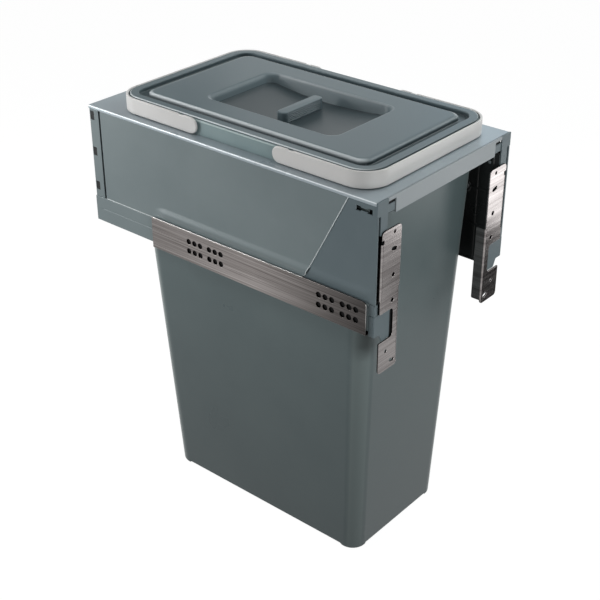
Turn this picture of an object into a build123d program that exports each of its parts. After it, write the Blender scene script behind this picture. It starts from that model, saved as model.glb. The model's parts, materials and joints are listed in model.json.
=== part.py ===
from build123d import *
import math
import os

# A pull-out waste bin for a 300 mm kitchen cabinet.  Two deep hollow steel sides run out on
# cabinet rails, a sheet tray ties them together and carries one tapered bin with a lid and two
# bail handles, and two brackets at the front take the cabinet door.
# Millimetres, +Z up.  X runs across (the left side is at -X), the door side faces -Y.
# The origin is under the middle of the part, on the plane that the bin's feet would stand on.

# Drawer sides and tray
SIDE_LENGTH = 450.0         # front face to rear edge
SIDE_WIDTH = 261.0          # over the outer skins of both sides
SIDE_THICKNESS = 18.5       # outer skin to inner skin of one hollow side
PANEL_DEPTH = 123.0         # tray top down to the lower edge of the side panel
SKIRT_HEIGHT = 34.0         # runner below the side panel
SHEET = 1.2                 # coated steel of the sides
TRAY_SHEET = 1.5
TRAY_LIP = 4.0              # turned-down long edges of the tray
TRAY_EDGE = 2.5             # rounding of those edges
SEAM = 0.3                  # gap at the joints between fitted pieces
STEP = 0.8                  # how far covers and strips lie below the panel's face
SLANT_TOP = 37.0            # slanted panel edge behind the front face, at the top
SLANT_LOW = 101.0           # the same at the bottom
SLANT_ROUND = 9.0
BEAD_RADIUS = 4.0           # long bead pressed into the panel
BEAD_RISE = 1.6
BEAD_ABOVE_EDGE = 11.0
BEAD_FRONT_END = 110.0      # from the front face
BEAD_REAR_END = 120.0       # from the rear edge
SCORE_DROP = 16.0           # scored line below the runner's top
SCORE_HEIGHT = 1.2
SCORE_DEPTH = 0.4
SCORE_END = 11.0            # plain stretch at the rear of the scored line
RUNNER_LIP = 4.3            # turned-in foot of the runner's inner leg

# Front cover, corner caps, cross rail and runner end caps
COVER_THICKNESS = 2.0
COVER_SLOT_LENGTH = 20.0
COVER_SLOT_END = 4.5        # square eyes at both ends of the access slot
COVER_SLOT_WEB = 1.8
COVER_SLOT_DROP = 12.7      # below the tray top
COVER_SLOT_SETBACK = 18.5   # slot middle behind the front face
CAP_PLATE = 2.0
CAP_WIDTH = 19.0
CAP_HEIGHT = 17.0
CAP_LEG_INSET = 6.0         # leg's outer edge from the skin
CAP_LEG_DROP = 40.0         # leg's foot below the tray top
CAP_PLUG_WIDTH = 5.0
CAP_PLUG_DEPTH = 6.0
CAP_TONGUE_LENGTH = 13.0
CAP_TONGUE_HEIGHT = 10.0
CAP_TONGUE_DROP = 8.0
CROSS_HEIGHT = 21.0
CROSS_FLANGE = 14.0
CROSS_LIP = 8.0
CROSS_NOTCH = 12.5          # clip notch at each end
CROSS_STRIP = 4.0           # strip left above the clip notch
END_CAP_DEPTH = 8.0
END_CAP_WIDTH = 30.5
END_CAP_DROP = 14.0         # cap top below the panel's lower edge
END_CAP_HEIGHT = 27.0
END_CAP_TOE = 10.0          # inner half reaches this much lower
END_CAP_WALL = 2.0

# Rear brackets and back panel
STRIP_WIDTH = 16.0          # rear bracket and its seam behind the side panel
STRIP_SEAM = 1.5
HOOK_SLOT_WIDTH = 4.5
HOOK_SLOT_HEIGHT = 8.5
HOOK_SLOT_DROPS = (13.0, 61.0, 108.0)
HOOK_SLOT_EDGE = 1.8        # slot from the rear edge
HOOK_CLEAR = 0.4

# Door brackets
BRACKET_SHEET = 2.0
BRACKET_WIDTH = 35.0
BRACKET_HEIGHT = 179.0
BRACKET_DROP = 36.0         # bracket top below the tray top
BRACKET_INSET = 7.5         # bracket's outer edge from the skin
BRACKET_ROUND = 5.0
NOTCH_DROP = 101.0          # notch top below the bracket top
NOTCH_HEIGHT = 37.0
NECK_WIDTH = 10.0
RELIEF_DROP = 10.0          # relief cut at the fold, below the bracket top
RELIEF_HEIGHT = 5.0
RELIEF_DEPTH = 4.0
OUTER_FLANGE_DEPTH = 18.0
INNER_FLANGE_DEPTH = 12.0
INNER_FLANGE_HEIGHT = 98.0
DOOR_HOLE_PITCH = 32.0
DOOR_HOLE_RADIUS = 2.6
DOOR_HOLE_INSET = 12.5      # hole line from the bracket's inner edge
DOOR_HOLE_DROP = 58.5       # upper screw hole below the bracket top
PILOT_RADIUS = 2.0
PILOT_DROP = 6.0
FOOT_PILOT_INSET = 21.5
FOOT_PILOT_RISE = 26.0
SLOT_LENGTH = 8.0
SLOT_WIDTH = 4.6
FOOT_SLOT_INSET = 9.5
FOOT_SLOT_RISE = 9.5
SLOT_ANGLE = 45.0

# Front coupling: housing, latch lever, pivot pin and adjuster screw
HOUSING_LENGTH = 110.0
HOUSING_DROP = 24.0
HOUSING_WALL = 2.0
APRON_THICKNESS = 1.5       # ribbed plate on the inner face
APRON_DROP = 172.0
RIB_COLUMNS = 5
RIB_ROWS = 3
RIB_WIDTH = 3.0
RIB_RELIEF = 0.8
LEVER_THICKNESS = 3.0
LEVER_WIDTH = 7.0
LEVER_SETBACK = 14.0        # pivot behind the front face
LEVER_PIVOT_DROP = 36.0
LEVER_TAIL_DROP = 12.0
LEVER_BOSS_RADIUS = 5.0
STUD_RADIUS = 2.4
STUD_ARM = 26.0             # stud below the pivot
STUD_CLEAR = 0.4
LATCH_ANGLE = 15.0
PIN_RADIUS = 2.0
PIN_CLEAR = 0.08
PIN_SEAT = 0.05             # pin in the housing's walls
ADJUSTER_RADIUS = 2.5
ADJUSTER_HEAD_RADIUS = 4.5
ADJUSTER_HEAD = 1.2
ADJUSTER_SETBACK = 45.0
ADJUSTER_DROP = 75.0

# Slide: cabinet rail, middle rail, roller carriages and damper
RAIL_SHEET = 1.5
RAIL_GAP = 2.0              # rail plate clear of the side's skin
RAIL_LAP = 3.0              # rail top above the panel's lower edge
RAIL_HEIGHT = 42.5
RAIL_LENGTH = 335.0
RAIL_SETBACK = 9.0          # rail's front end behind the front face
RAIL_ROUND = 5.0
RAIL_FOLD = 3.0             # outer radius of the fold at the rail's foot
RAIL_HOLE_RADIUS = 2.5
RAIL_HOLE_PITCH = 9.5
RAIL_TRIPLET_PITCH = 34.0
RAIL_GROUP_PITCH = 204.0
RAIL_ROW_PITCH = 12.8
RAIL_ROW_DROP = 14.0        # upper hole row below the rail top
RAIL_FIRST_HOLE = 14.0      # foremost hole behind the rail's front end
MIDDLE_SHEET = 1.5
MIDDLE_LENGTH = 360.0
MIDDLE_SETBACK = 14.0
MIDDLE_CLEAR = 1.55         # middle rail to the runner's legs
MIDDLE_DEPTH = 11.5
HEAD_CLEAR = 1.5            # track head to the middle rail's legs
LIP_LAP = 1.0               # middle rail's lips under the track head
ROLLER_RADIUS = 2.0
ROLLER_GAP = 0.2            # roller to the track above and below
ROLLER_PITCH = 18.0
ROLLER_COUNT = 6
ROLLER_END_CLEAR = 0.7
CAGE_THICKNESS = 1.2
CAGE_BORDER = 9.0
CAGE_CLEAR = 0.35           # cage window round a roller
CAGE_SIDE_CLEAR = 0.5
LOWER_CAGE_SETBACK = 145.0  # front end of the cage behind the front face
UPPER_CAGE_SETBACK = 185.0
DAMPER_RADIUS = 2.8
DAMPER_RISE = 8.0           # damper axis above the rail's bottom flange
DAMPER_LENGTH = 90.0
DAMPER_SETBACK = 244.0
DAMPER_ROD_RADIUS = 1.2
DAMPER_STROKE = 40.0
DAMPER_BUMPER = 6.0
DAMPER_BORE_CLEAR = 0.05
TAB_THICKNESS = 3.0
TAB_HEIGHT = 8.0

# Bin, bails and lid
BIN_DEPTH = 523.0           # tray top down to the bin's underside
FOOT_HEIGHT = 4.0
FOOT_REACH = 20.0           # each foot along the walls from its corner
BIN_WALL = 2.5
BIN_FLOOR = 3.0
BIN_SIDE_CLEAR = 2.0        # bin to the inner skins
BIN_FRONT_MARGIN = 22.6     # rim behind the front face
BIN_REAR_MARGIN = 41.4      # rim in front of the rear edge
BIN_INSET_SIDE = 21.2       # how far each wall has drawn in at the bottom
BIN_INSET_FRONT = 20.8
BIN_INSET_REAR = 35.8
BIN_ROUND_LOW = 20.0
BIN_ROUND_TOP = 25.0
BIN_EDGE = 3.0              # rounding under the feet
RIM_HEIGHT = 19.0
RIM_OVERHANG = 4.5          # rim's skirt outside the wall
RIM_WALL = 2.5
OPENING_CLEAR = 1.5         # tray opening round the bin
STRAP = 3.0
STRAP_GAP = 1.0             # bail strap to the rim
STRAP_HEIGHT = 20.0
STRAP_RISE = 1.0            # strap above the tray
BAIL_PIVOT_SPREAD = 137.0   # between the two bails' pivots
BAIL_STUD_RADIUS = 3.5
BAIL_STUD_CLEAR = 0.08
BAIL_NICK_LENGTH = 8.0
BAIL_NICK_DEPTH = 0.8
BAIL_NICK_OFFSET = 16.0
LID_INSET = 1.0             # lid's edge inside the rim's
LID_SHELL = 2.5
LID_FLANGE_WIDTH = 10.8
GROOVE_WIDTH = 10.5
GROOVE_DEPTH = 8.0
PLATEAU_RISE = 1.0
PLATEAU_ROUND = 12.0
PLATEAU_EDGE = 3.0
LID_EDGE = 1.0
WELL_MARGIN_SIDE = 32.0     # plateau edge to the hand-well
WELL_MARGIN_END = 72.0
WELL_ROUND = 16.0
WELL_DRAFT = 6.0            # how far the well's walls lean in
WELL_DEPTH_MIDDLE = 17.5
WELL_DEPTH_END = 10.5
GRIP_LENGTH = 62.0
GRIP_WIDTH = 13.5
GRIP_ROUND = 6.0            # grip's end corners, seen from above
GRIP_DROP = 2.5             # grip's top below the plateau
GRIP_EDGE = 3.0

# Fasteners between tray and sides
SCREW_RADIUS = 1.5
SCREW_HEAD_RADIUS = 4.0
SCREW_HEAD = 2.0
BOSS_RADIUS = 3.0
BOSS_CLEAR = 0.2
SCREW_SKIN = 0.5            # tray metal left above a screw
SCREW_SETBACKS = (70.0, 225.0, 380.0)

PAST = 1.0                  # how far a cut runs past the face that it opens

# Places worked out from the sizes above
front = BRACKET_SHEET - (SIDE_LENGTH + BRACKET_SHEET) / 2
rear = front + SIDE_LENGTH
skin = SIDE_WIDTH / 2
inner = skin - SIDE_THICKNESS
hollow_mid = (skin + inner) / 2
tray_top = BIN_DEPTH + FOOT_HEIGHT
tray_under = tray_top - TRAY_SHEET
flange_under = tray_under - SHEET
panel_top = tray_top - TRAY_LIP - SEAM
joggle = skin - TRAY_SHEET - SEAM
panel_low = tray_top - PANEL_DEPTH
skirt_low = panel_low - SKIRT_HEIGHT
rail_face = skin + RAIL_GAP + RAIL_SHEET
rail_top = panel_low + RAIL_LAP
rail_low = rail_top - RAIL_HEIGHT
rail_front = front + RAIL_SETBACK
runner_web = panel_low - SHEET
middle_top = runner_web - 2 * (ROLLER_RADIUS + ROLLER_GAP)
track_top = middle_top - MIDDLE_SHEET - 2 * (ROLLER_RADIUS + ROLLER_GAP)
middle_half = SIDE_THICKNESS / 2 - SHEET - MIDDLE_CLEAR
head_half = middle_half - MIDDLE_SHEET - HEAD_CLEAR
cover_face = skin - STEP
bracket_top = tray_top - BRACKET_DROP
bracket_low = bracket_top - BRACKET_HEIGHT
bracket_out = skin - BRACKET_INSET
bracket_in = bracket_out - BRACKET_WIDTH
cap_in = skin - CAP_WIDTH
cross_half = cap_in - SEAM
lever_mid = bracket_out - BRACKET_SHEET - STUD_CLEAR - LEVER_THICKNESS / 2
pivot_y = front + LEVER_SETBACK
pivot_z = tray_top - LEVER_PIVOT_DROP
bin_mid = (front + BIN_FRONT_MARGIN + rear - BIN_REAR_MARGIN) / 2
wall_half_x = inner - BIN_SIDE_CLEAR
wall_half_y = (SIDE_LENGTH - BIN_FRONT_MARGIN - BIN_REAR_MARGIN) / 2 - RIM_OVERHANG
rim_half_x = wall_half_x + RIM_OVERHANG
rim_half_y = wall_half_y + RIM_OVERHANG
rim_round = BIN_ROUND_TOP + RIM_OVERHANG
rim_top = tray_top + RIM_HEIGHT
bail_axis_z = tray_top + STRAP_RISE + STRAP_HEIGHT / 2
lid_top = rim_top + LID_SHELL
plateau_top = lid_top + PLATEAU_RISE


def block(x0, x1, y0, y1, z0, z1):
    """A box between two opposite corners."""
    return Pos((x0 + x1) / 2, (y0 + y1) / 2, (z0 + z1) / 2) * Box(x1 - x0, y1 - y0, z1 - z0)


def bar_x(x0, x1, y, z, radius):
    """A round bar along X."""
    return Pos((x0 + x1) / 2, y, z) * Rot(0, 90, 0) * Cylinder(radius, x1 - x0)


def bar_y(x, y0, y1, z, radius):
    """A round bar along Y."""
    return Pos(x, (y0 + y1) / 2, z) * Rot(90, 0, 0) * Cylinder(radius, y1 - y0)


def face_from(points):
    """A flat face inside a closed run of straight edges."""
    return make_face(Polyline(*points, close=True))


def plate_x(face, x0, x1):
    """A face drawn in (Y, Z), given thickness from x0 to x1."""
    return extrude(Plane((x0, 0, 0), x_dir=(0, 1, 0), z_dir=(1, 0, 0)) * face, x1 - x0)


def plate_y(face, y0, y1):
    """A face drawn in (X, Z), given thickness from y0 to y1."""
    return extrude(Plane((0, y1, 0), x_dir=(1, 0, 0), z_dir=(0, -1, 0)) * face, y1 - y0)


def slab(half_x, half_y, radius, z0, z1):
    """A rounded rectangle about the bin's middle, from z0 up to z1."""
    outline = RectangleRounded(2 * half_x, 2 * half_y, radius)
    return extrude(Plane((0, bin_mid, z0)) * outline, z1 - z0)


def round_corner(face, y, z, radius):
    """The face with its corner nearest to (y, z) rounded."""
    corner = face.vertices().sort_by_distance((y, z, 0))[0]
    return fillet(corner, radius)


def left_of(part):
    """The left-hand piece of a pair, from the right-hand one."""
    return mirror(part, about=Plane.YZ)


def slant_at(z):
    """Y of the panel's slanted front edge at height z."""
    share = (tray_top - z) / PANEL_DEPTH
    return front + SLANT_TOP + (SLANT_LOW - SLANT_TOP) * share


def side_panel():
    """Outer skin of a side, with its pressed bead and the joggled flange that carries the tray."""
    back = rear - STRIP_WIDTH
    outline = face_from([(back, panel_low), (back, panel_top),
                         (slant_at(panel_top), panel_top), (slant_at(panel_low), panel_low)])
    outline = round_corner(outline, slant_at(panel_low), panel_low, SLANT_ROUND)
    panel = plate_x(outline, skin - SHEET, skin)
    bead_x = skin + BEAD_RISE - BEAD_RADIUS
    bead_z = panel_low + BEAD_ABOVE_EDGE
    bead_ends = (front + BEAD_FRONT_END, rear - BEAD_REAR_END)
    bead = bar_y(bead_x, *bead_ends, bead_z, BEAD_RADIUS)
    for y in bead_ends:
        bead += Pos(bead_x, y, bead_z) * Sphere(BEAD_RADIUS)
    reach = 2 * BEAD_RADIUS
    bead &= block(skin - SHEET, skin + reach, bead_ends[0] - reach, bead_ends[1] + reach,
                  bead_z - reach, bead_z + reach)
    flange = block(inner, joggle, front + CAP_PLATE + SEAM, rear - SHEET, flange_under, tray_under)
    ledge_front = slant_at(panel_top - SHEET)
    ledge = block(joggle - SHEET, skin, ledge_front, back, panel_top - SHEET, panel_top)
    ledge += block(joggle - SHEET, joggle, ledge_front, back, panel_top - SHEET, tray_under)
    panel += flange + ledge + bead
    for y in screw_places():
        panel -= Pos(hollow_mid, y, flange_under) * Cylinder(BOSS_RADIUS + BOSS_CLEAR, 4 * SHEET)
    return panel


def screw_places():
    """Y of the screws that hold the tray to a side."""
    return [front + setback for setback in SCREW_SETBACKS]


def inner_panel():
    """Inner skin of a side, behind the coupling housing."""
    return block(inner, inner + SHEET, front + HOUSING_LENGTH + SEAM, rear - STRIP_WIDTH / 2,
                 panel_low, flange_under)


def front_cover():
    """Cover of the front coupling, with its access slot."""
    top = panel_top
    cap_foot = tray_top - CAP_HEIGHT - SEAM
    cap_back = front + CAP_PLATE + SEAM
    outline = face_from([(front, panel_low), (slant_at(panel_low) - SEAM, panel_low),
                         (slant_at(top) - SEAM, top), (cap_back, top),
                         (cap_back, cap_foot), (front, cap_foot)])
    outline = round_corner(outline, slant_at(panel_low), panel_low, SLANT_ROUND)
    cover = plate_x(outline, cover_face - COVER_THICKNESS, cover_face)
    slot_y = front + COVER_SLOT_SETBACK
    slot_z = tray_top - COVER_SLOT_DROP
    reach = (COVER_SLOT_LENGTH - COVER_SLOT_END) / 2
    depth = 4 * COVER_THICKNESS
    cuts = Pos(cover_face, slot_y, slot_z) * Box(depth, COVER_SLOT_LENGTH - COVER_SLOT_END, COVER_SLOT_WEB)
    for side in (-reach, reach):
        cuts += Pos(cover_face, slot_y + side, slot_z) * Box(depth, COVER_SLOT_END, COVER_SLOT_END)
    return cover - cuts


def rear_bracket():
    """Folded strip that closes the rear of a side and takes the back panel's hooks."""
    low, top = panel_low, panel_top
    strip_face = skin - STEP
    strip = block(strip_face - SHEET, strip_face, rear - STRIP_WIDTH + STRIP_SEAM, rear, low, top)
    strip += block(inner, strip_face, rear - SHEET, rear, low, top)
    slot_y = rear - HOOK_SLOT_EDGE - HOOK_SLOT_WIDTH / 2
    for drop in HOOK_SLOT_DROPS:
        strip -= Pos(strip_face, slot_y, tray_top - drop) * Box(4 * SHEET, HOOK_SLOT_WIDTH, HOOK_SLOT_HEIGHT)
    return strip


def back_panel():
    """Sheet between the two sides, hooked into both rear brackets."""
    mid_y = rear - HOOK_SLOT_EDGE - HOOK_SLOT_WIDTH / 2
    y0, y1 = mid_y - SHEET / 2, mid_y + SHEET / 2
    panel = block(-inner, inner, y0, y1, panel_low, tray_under)
    hook_end = skin - STEP - SHEET / 2
    half = HOOK_SLOT_HEIGHT / 2 - HOOK_CLEAR
    for drop in HOOK_SLOT_DROPS:
        z = tray_top - drop
        panel += block(-hook_end, hook_end, y0, y1, z - half, z + half)
    return panel


def runner():
    """Downward channel along the foot of a side: the drawer's member of the slide."""
    y0, y1 = front + END_CAP_DEPTH + SEAM, rear
    channel = block(inner, skin, y0, y1, runner_web, panel_low)
    channel += block(skin - SHEET, skin, y0, y1, skirt_low, panel_low)
    channel += block(inner, inner + SHEET, y0, y1, skirt_low, panel_low)
    channel += block(inner, inner + SHEET + RUNNER_LIP, y0, y1, skirt_low, skirt_low + SHEET)
    score_z = panel_low - SCORE_DROP
    channel -= block(skin - SCORE_DEPTH, skin + SHEET, y0 - SHEET, y1 - SCORE_END,
                     score_z - SCORE_HEIGHT / 2, score_z + SCORE_HEIGHT / 2)
    tab_y = damper_tip() - SEAM
    channel += block(damper_mid() - DAMPER_RADIUS, skin - SHEET / 2, tab_y - TAB_THICKNESS, tab_y,
                     damper_axis() - TAB_HEIGHT / 2, damper_axis() + TAB_HEIGHT / 2)
    return channel


def runner_end_cap():
    """Plastic end piece of the runner, seen in the door bracket's notch."""
    x0, x1 = skin - END_CAP_WIDTH, skin
    z1 = panel_low - END_CAP_DROP
    z0 = z1 - END_CAP_HEIGHT
    toe = z0 - END_CAP_TOE
    mid = (x0 + x1) / 2
    outline = face_from([(x0, toe), (mid, toe), (mid + END_CAP_TOE / 2, z0), (x1, z0), (x1, z1), (x0, z1)])
    cap = plate_y(outline, front, front + END_CAP_DEPTH)
    hollow = offset(outline, -END_CAP_WALL, kind=Kind.INTERSECTION)
    return cap - plate_y(hollow, front + END_CAP_WALL, front + END_CAP_DEPTH + END_CAP_WALL)


def corner_cap():
    """Plastic cap on a front corner, with a leg down the side and a tongue into the cross rail."""
    z0 = tray_top - CAP_HEIGHT
    cap = block(cap_in, skin, front, front + CAP_PLATE, z0, tray_top)
    cap += block(inner, skin - CAP_LEG_INSET, front, front + CAP_PLATE, tray_top - CAP_LEG_DROP, z0)
    plug_x = cover_face - COVER_THICKNESS - SEAM
    cap += block(plug_x - CAP_PLUG_WIDTH, plug_x, front + CAP_PLATE, front + CAP_PLATE + CAP_PLUG_DEPTH,
                 z0, flange_under - SEAM)
    tongue_top = tray_top - CAP_TONGUE_DROP
    cap += block(cap_in - CAP_TONGUE_LENGTH, cap_in, front + CAP_PLATE / 2, front + CAP_PLATE,
                 tongue_top - CAP_TONGUE_HEIGHT, tongue_top)
    return cap


def cross_rail():
    """Front cross rail between the corner caps: face, tray flange and a turned-in lower lip."""
    z0 = tray_top - CROSS_HEIGHT
    short = cross_half - CROSS_NOTCH - CAP_PLATE / 2
    rail = block(-short, short, front, front + CAP_PLATE, z0, tray_top)
    rail += block(-cross_half, cross_half, front, front + CAP_PLATE, tray_top - CROSS_STRIP, tray_top)
    back = front + CAP_PLATE
    rail += block(-cross_half, cross_half, front, back + CROSS_FLANGE, tray_under - CAP_PLATE, tray_under)
    rail += block(-short, short, front, back + CROSS_LIP, z0, z0 + CAP_PLATE)
    return rail


def tray():
    """Sheet tray with turned-down long edges, the bin's opening and a threaded boss for each screw."""
    y0, y1 = front + CAP_PLATE + SEAM, rear
    sheet = block(-skin, skin, y0, y1, tray_top - TRAY_LIP, tray_top)
    sheet -= block(TRAY_SHEET - skin, skin - TRAY_SHEET, y0 - PAST, y1 + PAST,
                   tray_top - TRAY_LIP - PAST, tray_under)
    long_edges = sheet.edges().filter_by(Axis.Y).group_by(Axis.Z)[-1]
    sheet = fillet(long_edges, TRAY_EDGE)
    for x in (-hollow_mid, hollow_mid):
        for y in screw_places():
            sheet += Pos(x, y, tray_under - SHEET / 2) * Cylinder(BOSS_RADIUS, SHEET)
            bore = tray_top - SCREW_SKIN - flange_under
            sheet -= Pos(x, y, flange_under + bore / 2) * Cylinder(SCREW_RADIUS, bore)
    hole = slab(wall_half_x + OPENING_CLEAR, wall_half_y + OPENING_CLEAR, BIN_ROUND_TOP + OPENING_CLEAR,
                tray_under - SHEET, tray_top + SHEET)
    return sheet - hole


def tray_screws():
    """Pan-head screws from inside the hollow sides, up into the tray's bosses."""
    screws = []
    shank = tray_top - SCREW_SKIN - flange_under
    for x in (-hollow_mid, hollow_mid):
        for y in screw_places():
            screw = Pos(x, y, flange_under + shank / 2) * Cylinder(SCREW_RADIUS, shank)
            screw += Pos(x, y, flange_under - SCREW_HEAD / 2) * Cylinder(SCREW_HEAD_RADIUS, SCREW_HEAD)
            screws.append(screw)
    return Compound(screws)


def coupling_housing():
    """Open-fronted plastic housing that holds the door bracket, with a ribbed inner face."""
    x1 = cover_face - COVER_THICKNESS - SEAM
    y1 = front + HOUSING_LENGTH
    z0, z1 = panel_low + SEAM, tray_top - HOUSING_DROP
    wall = HOUSING_WALL
    case = block(inner, x1, front + CAP_PLATE, y1, z0, z1)
    case -= block(inner + wall, x1 - wall, front - wall, y1 - wall, z0 + wall, z1 - wall)
    gap = LEVER_THICKNESS / 2 + SEAM
    case -= block(lever_mid - gap, lever_mid + gap, front - wall, pivot_y + 2 * LEVER_WIDTH,
                  z1 - 2 * wall, z1 + wall)
    apron_y = front + END_CAP_DEPTH + 2 * SEAM
    apron_low = tray_top - APRON_DROP
    case += block(inner - APRON_THICKNESS, inner, apron_y, y1, apron_low, z1)
    case -= rib_pockets(apron_y, y1, apron_low, z1)
    case -= bar_x(inner - 2 * wall, x1 + wall, pivot_y, pivot_z, PIN_RADIUS + PIN_SEAT)
    case -= bar_x(inner - 2 * wall, x1 - wall, front + ADJUSTER_SETBACK, tray_top - ADJUSTER_DROP,
                  ADJUSTER_RADIUS)
    return case


def rib_pockets(y0, y1, z0, z1):
    """Shallow pockets that leave upright and level ribs on the housing's inner face."""
    step_y = (y1 - y0 - RIB_WIDTH) / RIB_COLUMNS
    step_z = (z1 - z0 - RIB_WIDTH) / RIB_ROWS
    x0 = inner - APRON_THICKNESS
    pockets = []
    for column in range(RIB_COLUMNS):
        for row in range(RIB_ROWS):
            y = y0 + RIB_WIDTH + column * step_y
            z = z0 + RIB_WIDTH + row * step_z
            pocket = block(x0 - RIB_RELIEF, x0 + RIB_RELIEF, y, y + step_y - RIB_WIDTH,
                           z, z + step_z - RIB_WIDTH)
            pockets.append(pocket)
    screw_land = bar_x(x0 - PAST, inner, front + ADJUSTER_SETBACK, tray_top - ADJUSTER_DROP,
                       ADJUSTER_HEAD_RADIUS + RIB_WIDTH)
    return [pocket - screw_land for pocket in pockets]


def latch_pin():
    """Pivot pin of the latch lever, across the housing."""
    return bar_x(inner - APRON_THICKNESS, cover_face - COVER_THICKNESS - SEAM, pivot_y, pivot_z, PIN_RADIUS)


def latch_lever():
    """Sprung lever whose stud locks into the door bracket's outer flange."""
    x0, x1 = lever_mid - LEVER_THICKNESS / 2, lever_mid + LEVER_THICKNESS / 2
    stud_z = pivot_z - STUD_ARM
    half = LEVER_WIDTH / 2
    lever = block(x0, x1, pivot_y - half, pivot_y + half, stud_z, tray_top - LEVER_TAIL_DROP)
    lever += bar_x(x0, x1, pivot_y, stud_z, half)
    lever += bar_x(x0, x1, pivot_y, pivot_z, LEVER_BOSS_RADIUS)
    lever += bar_x(x0, bracket_out + STUD_CLEAR, pivot_y, stud_z, STUD_RADIUS)
    return lever - bar_x(x0 - PAST, x1 + PAST, pivot_y, pivot_z, PIN_RADIUS + PIN_CLEAR)


def adjuster_screws():
    """One side-adjuster screw in each coupling housing, its head on the inner face."""
    y, z = front + ADJUSTER_SETBACK, tray_top - ADJUSTER_DROP
    face = inner - APRON_THICKNESS
    screw = bar_x(face, inner + HOUSING_WALL, y, z, ADJUSTER_RADIUS)
    screw += bar_x(face - ADJUSTER_HEAD, face, y, z, ADJUSTER_HEAD_RADIUS)
    cut = ADJUSTER_HEAD / 2
    screw -= Pos(face - ADJUSTER_HEAD, y, z) * Box(2 * cut, 2 * ADJUSTER_RADIUS, cut)
    screw -= Pos(face - ADJUSTER_HEAD, y, z) * Box(2 * cut, cut, 2 * ADJUSTER_RADIUS)
    return Compound([screw, left_of(screw)])


def door_bracket():
    """Door bracket: holed front plate, outer flange into the side, inner flange down the foot."""
    notch_top = bracket_top - NOTCH_DROP
    notch_low = notch_top - NOTCH_HEIGHT
    neck = bracket_in + NECK_WIDTH
    outline = face_from([(bracket_in, bracket_low), (bracket_out, bracket_low), (bracket_out, notch_low),
                         (neck, notch_low), (neck, notch_top), (bracket_out, notch_top),
                         (bracket_out, bracket_top), (bracket_in, bracket_top)])
    rounded = [(bracket_in, bracket_low), (bracket_out, bracket_low), (neck, notch_low), (neck, notch_top),
               (bracket_out, bracket_top), (bracket_in, bracket_top)]
    for x, z in rounded:
        outline = round_corner(outline, x, z, BRACKET_ROUND)
    y0, y1 = front - BRACKET_SHEET, front
    plate = plate_y(outline, y0, y1)
    flange_top = bracket_top - RELIEF_DROP - RELIEF_HEIGHT
    flange_low = panel_low + HOUSING_WALL + 2 * SEAM
    flange = block(bracket_out - BRACKET_SHEET, bracket_out, y0, front + OUTER_FLANGE_DEPTH,
                   flange_low, flange_top)
    stud_z = pivot_z - STUD_ARM
    room = STUD_RADIUS + STUD_CLEAR
    lift = STUD_ARM * (1 - math.cos(math.radians(LATCH_ANGLE)))
    flange -= block(bracket_out - 2 * BRACKET_SHEET, bracket_out + BRACKET_SHEET, pivot_y - room,
                    front + 2 * OUTER_FLANGE_DEPTH, stud_z - room, stud_z + room + lift)
    plate += flange
    plate += block(bracket_in, bracket_in + BRACKET_SHEET, y0, front + INNER_FLANGE_DEPTH,
                   bracket_low + BRACKET_ROUND, bracket_low + BRACKET_ROUND + INNER_FLANGE_HEIGHT)
    plate -= block(bracket_out - RELIEF_DEPTH, bracket_out + RELIEF_DEPTH, y0 - PAST, front + PAST,
                   flange_top, flange_top + RELIEF_HEIGHT)
    return plate - door_bracket_holes(y0, y1)


def door_bracket_holes(y0, y1):
    """Two screw holes on the 32 mm pitch, a slot one pitch above, pilots and the foot's slot."""
    line = bracket_in + DOOR_HOLE_INSET
    first = bracket_top - DOOR_HOLE_DROP
    cuts = []
    for z in (first, first - DOOR_HOLE_PITCH):
        cuts.append(bar_y(line, y0 - PAST, y1 + PAST, z, DOOR_HOLE_RADIUS))
    cuts.append(bar_y(line, y0 - PAST, y1 + PAST, bracket_top - PILOT_DROP, PILOT_RADIUS))
    foot_x = bracket_in + FOOT_PILOT_INSET
    cuts.append(bar_y(foot_x, y0 - PAST, y1 + PAST, bracket_low + FOOT_PILOT_RISE, PILOT_RADIUS))
    slots = [(line, first + DOOR_HOLE_PITCH), (bracket_in + FOOT_SLOT_INSET, bracket_low + FOOT_SLOT_RISE)]
    for x, z in slots:
        outline = Pos(x, z) * SlotOverall(SLOT_LENGTH, SLOT_WIDTH, rotation=SLOT_ANGLE)
        cuts.append(plate_y(outline, y0 - PAST, y1 + PAST))
    return cuts


def cabinet_rail():
    """Cabinet rail: holed plate on the cabinet wall, bottom flange and an upright T track."""
    y0, y1 = rail_front, rail_front + RAIL_LENGTH
    outline = face_from([(y0, rail_low), (y1, rail_low), (y1, rail_top), (y0, rail_top)])
    outline = round_corner(outline, y0, rail_top, RAIL_ROUND)
    outline = round_corner(outline, y1, rail_top, RAIL_SHEET)
    rail = plate_x(outline, rail_face - RAIL_SHEET, rail_face)
    half = RAIL_SHEET / 2
    rail += block(hollow_mid - half, rail_face, y0, y1, rail_low, rail_low + RAIL_SHEET)
    rail = fillet(rail.edges().filter_by(Axis.Y).group_by(Axis.Z)[0].sort_by(Axis.X)[-1], RAIL_FOLD)
    rail += block(hollow_mid - half, hollow_mid + half, y0, y1, rail_low, track_top)
    rail += block(hollow_mid - head_half, hollow_mid + head_half, y0, y1, track_top - RAIL_SHEET, track_top)
    holes = []
    for y in rail_hole_places():
        for row in range(2):
            z = rail_top - RAIL_ROW_DROP - row * RAIL_ROW_PITCH
            holes.append(bar_x(rail_face - 2 * RAIL_SHEET + half, rail_face + PAST, y, z, RAIL_HOLE_RADIUS))
    return rail - holes


def rail_hole_places():
    """Y of the screw holes in one row: two groups of two triplets."""
    places = []
    for group in range(2):
        for triplet in range(2):
            for hole in range(3):
                step = group * RAIL_GROUP_PITCH + triplet * RAIL_TRIPLET_PITCH + hole * RAIL_HOLE_PITCH
                places.append(rail_front + RAIL_FIRST_HOLE + step)
    return places


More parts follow.
